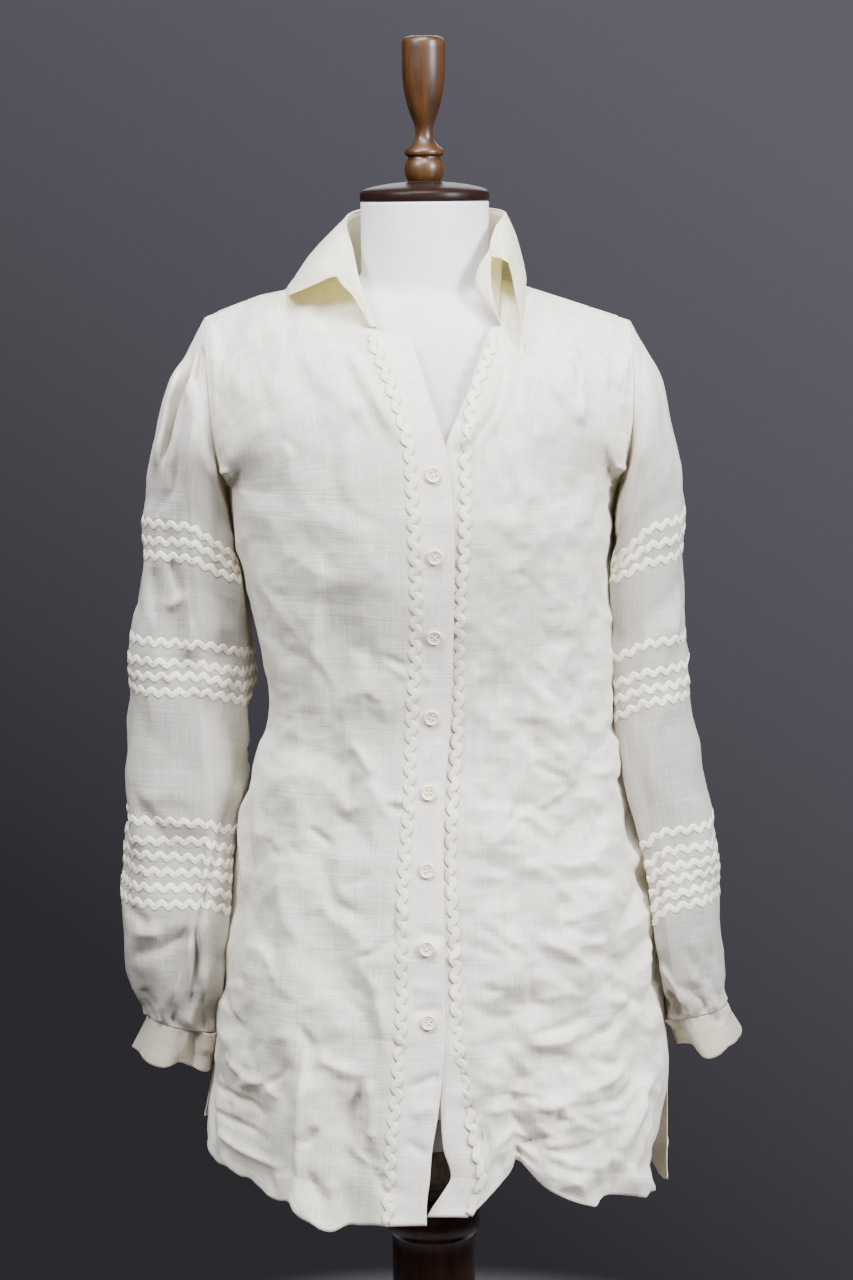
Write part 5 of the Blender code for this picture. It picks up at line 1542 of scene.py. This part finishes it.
def torso_cover():
    """The padded torso and its covered neck, smooth and whole."""
    levels = np.concatenate([
        np.array([FORM_LOW, 306.5, 308.5, 311, 315, 321, 330, 342, 356]),
        np.linspace(372, FORM_SHOULDER, 46),
        np.linspace(FORM_SHOULDER, FORM_HIGH, 56)[1:],
    ])
    turn = 2 * np.pi * np.arange(FORM_SIDES) / FORM_SIDES
    z, angle = np.meshgrid(levels, turn, indexing="ij")
    across, ahead = np.cos(angle), np.sin(angle)
    low, high = np.zeros(z.shape), np.full(z.shape, FORM_REACH)
    for _ in range(HALVINGS):
        reach = (low + high) / 2
        x = across * reach
        depth = np.where(ahead < 0, form_depth(x, z, True), form_depth(x, z, False))
        inside = np.abs(ahead) * reach < depth
        low, high = np.where(inside, reach, low), np.where(inside, high, reach)
    rounded = (low**NECK_BLEND + NECK_RADIUS**NECK_BLEND) ** (1 / NECK_BLEND)
    reach = mix(low, rounded, ease((z - NECK_FOOT + 6) / 8))
    points = np.stack([reach * across, reach * ahead, z], axis=-1)
    faces = ring_faces(len(levels), FORM_SIDES)
    return make_object("torso_cover", points.reshape(-1, 3), faces, "form_cover")


# ---- materials


class Nodes:
    """The nodes of a material or of the world, added and joined in few words."""

    def __init__(self, owner):
        owner.use_nodes = True
        self.owner = owner
        self.tree = owner.node_tree
        self.shader = self.tree.nodes.get("Principled BSDF")

    def put(self, target, value):
        """Gives an input a value, or joins another node's output to it."""
        if isinstance(value, bpy.types.NodeSocket):
            self.tree.links.new(value, target)
        else:
            target.default_value = value

    def add(self, kind, inputs=(), **settings):
        """A new node, with its inputs by name or number and its other settings."""
        node = self.tree.nodes.new(kind)
        for key, value in settings.items():
            setattr(node, key, value)
        for key, value in dict(inputs).items():
            self.put(node.inputs[key], value)
        return node

    def place(self):
        return self.add("ShaderNodeTexCoord").outputs["Object"]

    def noise(self, vector, scale, detail=2.0, roughness=0.5):
        inputs = {"Scale": scale, "Detail": detail, "Roughness": roughness, "Vector": vector}
        return self.add("ShaderNodeTexNoise", inputs).outputs["Fac"]

    def grain(self, source, scale, detail=2.0, roughness=0.5):
        """Noise with a scale of its own along each axis."""
        stretched = self.add("ShaderNodeMapping", {"Scale": scale, "Vector": source})
        return self.noise(stretched.outputs["Vector"], 1.0, detail, roughness)

    def maths(self, operation, *values):
        return self.add("ShaderNodeMath", dict(enumerate(values)), operation=operation).outputs[0]

    def blend(self, first, share, second, other):
        """The sum of two values, each times its share."""
        parts = self.maths("MULTIPLY", first, share), self.maths("MULTIPLY", second, other)
        return self.maths("ADD", *parts)

    def eased(self, value, low, high, start=0.0, end=1.0):
        """A value taken smoothly from one range to another."""
        inputs = {"From Min": low, "From Max": high, "To Min": start, "To Max": end, "Value": value}
        node = self.add("ShaderNodeMapRange", inputs, interpolation_type="SMOOTHSTEP")
        return node.outputs["Result"]

    def ramp(self, factor, stops):
        node = self.add("ShaderNodeValToRGB", {"Fac": factor})
        while len(node.color_ramp.elements) < len(stops):
            node.color_ramp.elements.new(0.5)
        for element, (place, colour) in zip(node.color_ramp.elements, stops):
            element.position = place
            element.color = (*colour, 1.0)
        return node.outputs["Color"]

    def paint(self, colour):
        self.put(self.shader.inputs["Base Color"], colour)

    def bump(self, height, strength, distance):
        inputs = {"Strength": strength, "Distance": distance, "Height": height}
        normal = self.add("ShaderNodeBump", inputs).outputs["Normal"]
        self.put(self.shader.inputs["Normal"], normal)
        return normal

    def mix_with(self, other, share):
        """Mixes another shader into the material's surface by a share."""
        inputs = {"Fac": share, 1: self.shader.outputs["BSDF"], 2: other.outputs["BSDF"]}
        both = self.add("ShaderNodeMixShader", inputs)
        self.put(self.tree.nodes["Material Output"].inputs["Surface"], both.outputs["Shader"])

    def finish(self, **values):
        for key, value in values.items():
            self.shader.inputs[key.replace("_", " ")].default_value = value
        return self.owner


LINENS = {
    # light, dark, colour of the light through it, share of that, and the gain of painted light where
    # its pattern starts
    "linen": ((0.94, 0.905, 0.81), (0.79, 0.75, 0.635), (0.95, 0.86, 0.52), 0.22),
    # painted shade: the sleeves and cuffs are the same linen as the body, painted darker for the shade
    # on them and the lack of the white form behind them
    "linen_sleeve": ((0.625, 0.595, 0.55), (0.515, 0.487, 0.43), (0.93, 0.85, 0.52), 0.26, 1.46),
    "linen_band": ((0.97, 0.925, 0.835), (0.87, 0.82, 0.72), (0.96, 0.88, 0.42), 0.14),
    "linen_cuff": ((0.62, 0.58, 0.495), (0.52, 0.475, 0.385), (0.94, 0.86, 0.46), 0.30),
    "linen_trim": ((0.95, 0.92, 0.81), (0.83, 0.79, 0.67), (0.97, 0.93, 0.52), 0.36),
}
PAINTED_LIGHT_REACH = 0.20         # how far along the cloth the gain of painted light reaches from the pattern's start, in metres
GRAINED = {
    # light, dark, scale, detail, strength and depth of the relief, finish
    "ric_rac": (
        (0.91, 0.86, 0.71), (0.78, 0.72, 0.56), (900, 900, 900), 2.0, 0.4, 0.0004,
        dict(Roughness=0.75, Sheen_Weight=0.1, Specular_IOR_Level=0.3),
    ),
    "thread": (
        (0.88, 0.85, 0.75), (0.80, 0.76, 0.64), (2500, 2500, 2500), 3.0, 0.2, 0.0001,
        dict(Roughness=0.6),
    ),
    "shell_button": (
        (0.88, 0.82, 0.62), (0.80, 0.73, 0.50), (240, 240, 240), 3.0, 0.05, 0.0001,
        dict(Roughness=0.3, Coat_Weight=0.4, Coat_Roughness=0.15),
    ),
    "pole_paint": (
        (0.34, 0.31, 0.26), (0.22, 0.19, 0.15), (160, 160, 60), 3.0, 0.25, 0.0004,
        dict(Roughness=0.55),
    ),
    "pole_foot_wood": (
        (0.12, 0.085, 0.055), (0.045, 0.03, 0.02), (260, 260, 120), 3.0, 0.5, 0.0008,
        dict(Roughness=0.5),
    ),
}
WOODS = {
    # light, dark, finish
    "turned_wood": (
        (0.075, 0.029, 0.006), (0.020, 0.007, 0.001),
        dict(Roughness=0.42, Coat_Weight=0.08, Coat_Roughness=0.12),
    ),
    "dark_wood": (
        (0.018, 0.008, 0.005), (0.008, 0.004, 0.003),
        dict(Roughness=0.38, Coat_Weight=0.0, Specular_IOR_Level=0.14),
    ),
    "base_wood": (
        (0.030, 0.009, 0.003), (0.010, 0.004, 0.002),
        dict(Roughness=0.26, Coat_Weight=0.0, Specular_IOR_Level=0.16),
    ),
}


def material_nodes(name):
    return Nodes(bpy.data.materials.new(name))


def linen_material(name, light, dark, glow, through, start=1.0):
    """Plain-woven linen with slubs; some light passes through it, warmed by the cloth.

    Where start is not 1, the colour is painted lighter by that gain where the pattern begins, fading
    away along the cloth: painted light, which lifts the shaded sleeve near its armhole.
    """
    nodes = material_nodes(name)
    flat = nodes.add("ShaderNodeUVMap", uv_map="cloth").outputs["UV"]
    warp, weft = nodes.grain(flat, (1100, 60, 1), 1.0), nodes.grain(flat, (60, 1100, 1), 1.0)
    slub_warp, slub_weft = nodes.grain(flat, (430, 13, 1)), nodes.grain(flat, (13, 430, 1))
    threads, slubs = nodes.maths("ADD", warp, weft), nodes.maths("ADD", slub_warp, slub_weft)
    weave = nodes.maths("ADD", nodes.maths("MULTIPLY", threads, 0.6), slubs)
    patches = nodes.noise(flat, 9.0, 3.0)
    colour = nodes.ramp(nodes.blend(weave, 0.5, patches, 0.2), [(0.78, dark), (1.01, light)])
    # painted light: the colour is scaled up by start near the beginning of the cloth's pattern, and
    # fades back along it
    if start != 1.0:
        parts = nodes.add("ShaderNodeSeparateXYZ", {0: flat})
        painted_light_gain = nodes.eased(parts.outputs["Y"], 0.0, PAINTED_LIGHT_REACH, start, 1.0)
        inputs = {0: colour, "Scale": painted_light_gain}
        colour = nodes.add("ShaderNodeVectorMath", inputs, operation="SCALE").outputs["Vector"]
    nodes.paint(colour)
    normal = nodes.bump(weave, 0.45, 0.0006)
    passing = nodes.add("ShaderNodeBsdfTranslucent", {"Color": (*glow, 1.0), "Normal": normal})
    nodes.mix_with(passing, through)
    return nodes.finish(
        Roughness=0.85, Sheen_Weight=0.12, Sheen_Roughness=0.5, Specular_IOR_Level=0.25
    )


def grained_material(name, light, dark, scale, detail, strength, distance, values):
    """A material of two close shades in fine noise, with a little relief."""
    nodes = material_nodes(name)
    grain = nodes.grain(nodes.place(), scale, detail)
    nodes.paint(nodes.ramp(grain, [(0.3, dark), (0.7, light)]))
    nodes.bump(grain, strength, distance)
    return nodes.finish(**values)


def wood_material(name, light, dark, values):
    """Varnished wood with its grain along the turned piece."""
    nodes = material_nodes(name)
    place = nodes.place()
    rings, pores = nodes.grain(place, (90, 90, 9), 4.0, 0.6), nodes.grain(place, (900, 900, 40))
    nodes.paint(nodes.ramp(nodes.blend(rings, 0.8, pores, 0.2), [(0.35, dark), (0.62, light)]))
    nodes.bump(pores, 0.12, 0.0003)
    return nodes.finish(**values)


def cover_material():
    """The form's stretched cover, white at the neck, with painted shade: darker, warmer and greyer
    further down, for the shade the cloth over it casts.
    """
    nodes = material_nodes("form_cover")
    place = nodes.place()
    grain = nodes.grain(place, (1800, 1800, 1800), 3.0)
    height = nodes.add("ShaderNodeSeparateXYZ", {0: place}).outputs["Z"]
    # painted shade: the cover's colour darkens and warms below the neck, standing in for the tunic's
    # shade on it
    lift = nodes.eased(height, 0.86, 1.03, 0.0, 0.9)
    shade = nodes.maths("ADD", lift, nodes.maths("MULTIPLY", grain, 0.1))
    stops = [(0.0, (0.52, 0.48, 0.45)), (0.5, (0.61, 0.59, 0.595)), (1.0, (0.76, 0.745, 0.775))]
    nodes.paint(nodes.ramp(shade, stops))
    nodes.bump(grain, 0.15, 0.0002)
    return nodes.finish(Roughness=0.9, Sheen_Weight=0.1)


def floor_material():
    """A pale floor that fades away from the stand."""
    nodes = material_nodes("floor")
    place = nodes.place()
    nodes.bump(nodes.noise(place, 300.0), 0.05, 0.0005)
    reach = nodes.add("ShaderNodeVectorMath", {0: place}, operation="LENGTH").outputs["Value"]
    fade = nodes.eased(reach, 0.2, 0.42)
    nodes.mix_with(nodes.add("ShaderNodeBsdfTransparent"), fade)
    return nodes.finish(Roughness=0.9, Base_Color=(0.5, 0.5, 0.52, 1.0))


materials = {name: linen_material(name, *row) for name, row in LINENS.items()}
materials.update({name: grained_material(name, *row) for name, row in GRAINED.items()})
materials.update({name: wood_material(name, *row) for name, row in WOODS.items()})
materials["form_cover"] = cover_material()
materials["floor"] = floor_material()

# ---- putting it together


def settle(piece, nodes):
    """Ties a piece to the model's root body, and hides the solids it stands for."""
    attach(piece, "root")
    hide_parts(*nodes)
    return piece


def sew(name, surface, material, closed=False, thickness=CLOTH):
    """A cut piece of cloth on a surface, put in place of the solid it stands for."""
    node, flat, area = CUTS[name]
    piece = cloth(f"{name}_cloth", *surface, material, closed, thickness)
    settle(piece, [node])


def fasten(name, node, surface, row, column, turn):
    """A button at a place on a creased surface."""
    centre, normal = line_on(surface, [row], [column])
    settle(button(name, centre[0], normal[0], turn), [node])


def hem_lines(surface, columns, hem, edges):
    """Lines for the stitches along a hem and up beside its slits."""
    rows = HEM_STITCH / (SLIT_TOP - hem) * LOWER_ROWS
    rise = np.linspace(3.2, LOWER_ROWS - 1, 60)
    return [line_on(surface, rows, columns)] + [line_on(surface, rise, edge) for edge in edges]


torso = settle(torso_cover(), ["form_torso"])
fronts = {name: creased_front(name) for name in SIDES}
back = creased_back()
bands = {name: creased_band(name, fronts[name][0]) for name in SIDES}
for name, surface in fronts.items():
    sew(f"front_{name}", surface, "linen")
sew("back", back, "linen")
for name, surface in bands.items():
    sew(f"band_{name}", surface, "linen_band", thickness=BAND_CLOTH)

cuffs = {}
for name in SIDES:
    armhole = armhole_loop(*fronts[name], *back, 0 if name == "right" else -1)
    outer, normals, v = creased_sleeve(name, armhole)
    sew(f"sleeve_{name}", (outer, normals), "linen_sleeve", closed=True)
    cuffs[name] = cuff_grid(name, outer)
    sew(f"cuff_{name}", cuffs[name], "linen_cuff", thickness=BAND_CLOTH)
    rows = [f"braid_sleeve_{name}_{n:02d}" for n in range(1, 14)]
    settle(sleeve_braids(name, outer, normals, v), rows)
    settle(front_braid(name, *fronts[name]), [f"braid_front_{name}"])

stand, leaf = collar_grids(fronts, back[0])
sew("collar_stand", stand, "linen_trim")
sew("collar_leaf", leaf, "linen_trim")

# buttons down the front and at each cuff's lap
grid = bands["right"][0]
line = grid[:, BAND_COLUMNS // 2, 2]
for number, (x, height) in enumerate(BUTTONS, 1):
    row = np.interp(height, line, np.arange(len(line)))
    seam_x, edge_x = sample(grid, np.full(2, row), np.array([0.0, BAND_COLUMNS]))[:, 0]
    column = (x - seam_x) / (edge_x - seam_x) * BAND_COLUMNS
    name = f"shell_button_{number}"
    fasten(name, f"button_front_{number}", bands["right"], row, column, 0.3 * number)
for name, surface in cuffs.items():
    column = (2 * UPPER_STEPS + 0.5) * FINE
    fasten(f"shell_button_cuff_{name}", f"button_cuff_{name}", surface, CUFF_ROWS / 2, column, 0.4)

# stitches
for name, surface in fronts.items():
    columns = np.linspace(1, FRONT_COLUMNS - 3, 140)
    hem = curve(HEMS[name], columns / FRONT_COLUMNS)
    stitches(f"stitches_front_{name}", hem_lines(surface, columns, hem, [FRONT_COLUMNS - 3.0]))
columns = np.linspace(3, 2 * BACK_HALF_COLUMNS - 3, 260)
hem = curve(HEM_BACK, columns / BACK_HALF_COLUMNS - 1)
stitches("stitches_back", hem_lines(back, columns, hem, [3.0, 2 * BACK_HALF_COLUMNS - 3.0]))
for name, surface in bands.items():
    rise = np.linspace(1, NECK_ROW - 1, 400)
    lines = [line_on(surface, rise, share * BAND_COLUMNS) for share in BAND_STITCHES]
    stitches(f"stitches_band_{name}", lines)
for name, surface in cuffs.items():
    turns = np.linspace(1, surface[0].shape[1] - 2, 200)
    lines = [line_on(surface, share * CUFF_ROWS, turns) for share in CUFF_STITCHES]
    stitches(f"stitches_cuff_{name}", lines)
turns = np.linspace(1, leaf[0].shape[1] - 2, 240)
stitches("stitches_collar", [line_on(leaf, leaf[0].shape[0] - 2.6, turns)])

for node, profile, material, slot in [
    ("neck_cap", NECK_CAP, "dark_wood", "dark_wood"),
    ("finial", FINIAL, "turned_wood", "turned_wood"),
    ("pole", POLE, "pole_paint", "pole_metal"),
    ("pole_foot", POLE_FOOT, "pole_foot_wood", "turned_wood"),
    ("column", COLUMN, "base_wood", "turned_wood"),
    ("foot", FOOT, "base_wood", "turned_wood"),
]:
    settle(turned(f"turned_{node}", profile, material), [node])

# ---- floor, light and camera

FLOOR_RADIUS = 450.0
FLOOR_SIDES = 96

# the studio's grey, which grows lighter upwards and to the wearer's left
STUDIO_MIDDLE, STUDIO_UP, STUDIO_LEFT = 0.512, 0.5, 0.34
STUDIO = [
    (0.36, (0.030, 0.028, 0.033)), (0.46, (0.084, 0.079, 0.095)), (0.56, (0.128, 0.121, 0.148)),
]
SOFTBOXES = {
    # place, target, size, power, colour
    "right": ((-1.25, -1.35, 2.45), (0, 0, 0.8), (0.6, 0.8), 84.0, (0.915, 0.926, 1.0)),
    "left": ((1.8, -1.5, 1.85), (0, 0, 0.75), (0.7, 0.9), 158.0, (0.915, 0.926, 1.0)),
    "top": ((-0.1, -1.0, 2.95), (0, 0, 0.9), (1.1, 1.1), 114.0, (0.95, 0.955, 1.0)),
    "back": ((0.2, 2.6, 2.2), (0, 0, 0.8), (1.6, 1.2), 22.0, (0.95, 0.955, 1.0)),
    "front": ((0.0, -3.4, 1.6), (0, 0, 0.7), (2.4, 1.8), 10.0, (1.0, 0.97, 0.90)),
}
CAMERA_PLACE = (-0.0017, -2.8, 1.10)
CAMERA_TARGET = (-0.0017, 0.0, 0.708)
CAMERA_ROLL = -0.51   # in degrees


def aim(thing, target, roll=0.0):
    """Turns a light or camera towards a point, then rolls it."""
    way = Vector(target) - thing.location
    turn = way.to_track_quat("-Z", "Y") @ Quaternion((0.0, 0.0, 1.0), math.radians(roll))
    thing.rotation_mode = "QUATERNION"
    thing.rotation_quaternion = turn


def stand_up(name, data, place):
    """A light or camera set up at its place."""
    thing = bpy.data.objects.new(name, data)
    bpy.context.collection.objects.link(thing)
    thing.location = place
    return thing


spin = 2 * np.pi * np.arange(FLOOR_SIDES) / FLOOR_SIDES
ring = np.stack([FLOOR_RADIUS * np.cos(spin), FLOOR_RADIUS * np.sin(spin), 0 * spin], axis=-1)
make_object("floor", ring, [list(range(FLOOR_SIDES))], "floor")

world = bpy.data.worlds.new("studio")
bpy.context.scene.world = world
nodes = Nodes(world)
way = nodes.add("ShaderNodeTexCoord").outputs["Generated"]
parts = nodes.add("ShaderNodeSeparateXYZ", {0: way})
across = nodes.maths("MULTIPLY_ADD", parts.outputs["X"], STUDIO_LEFT, STUDIO_MIDDLE)
grey = nodes.ramp(nodes.maths("MULTIPLY_ADD", parts.outputs["Z"], STUDIO_UP, across), STUDIO)
nodes.put(nodes.tree.nodes["Background"].inputs["Color"], grey)

for name, (place, target, size, power, colour) in SOFTBOXES.items():
    data = bpy.data.lights.new(f"softbox_{name}", "AREA")
    data.shape = "RECTANGLE"
    data.size, data.size_y = size
    data.energy = power
    data.color = colour
    aim(stand_up(f"softbox_{name}", data, place), target)

camera_data = bpy.data.cameras.new("camera")
camera_data.sensor_fit = "VERTICAL"
camera_data.sensor_height = 36.0
camera_data.lens = 90.9
camera = stand_up("camera", camera_data, CAMERA_PLACE)
aim(camera, CAMERA_TARGET, CAMERA_ROLL)
bpy.context.scene.camera = camera
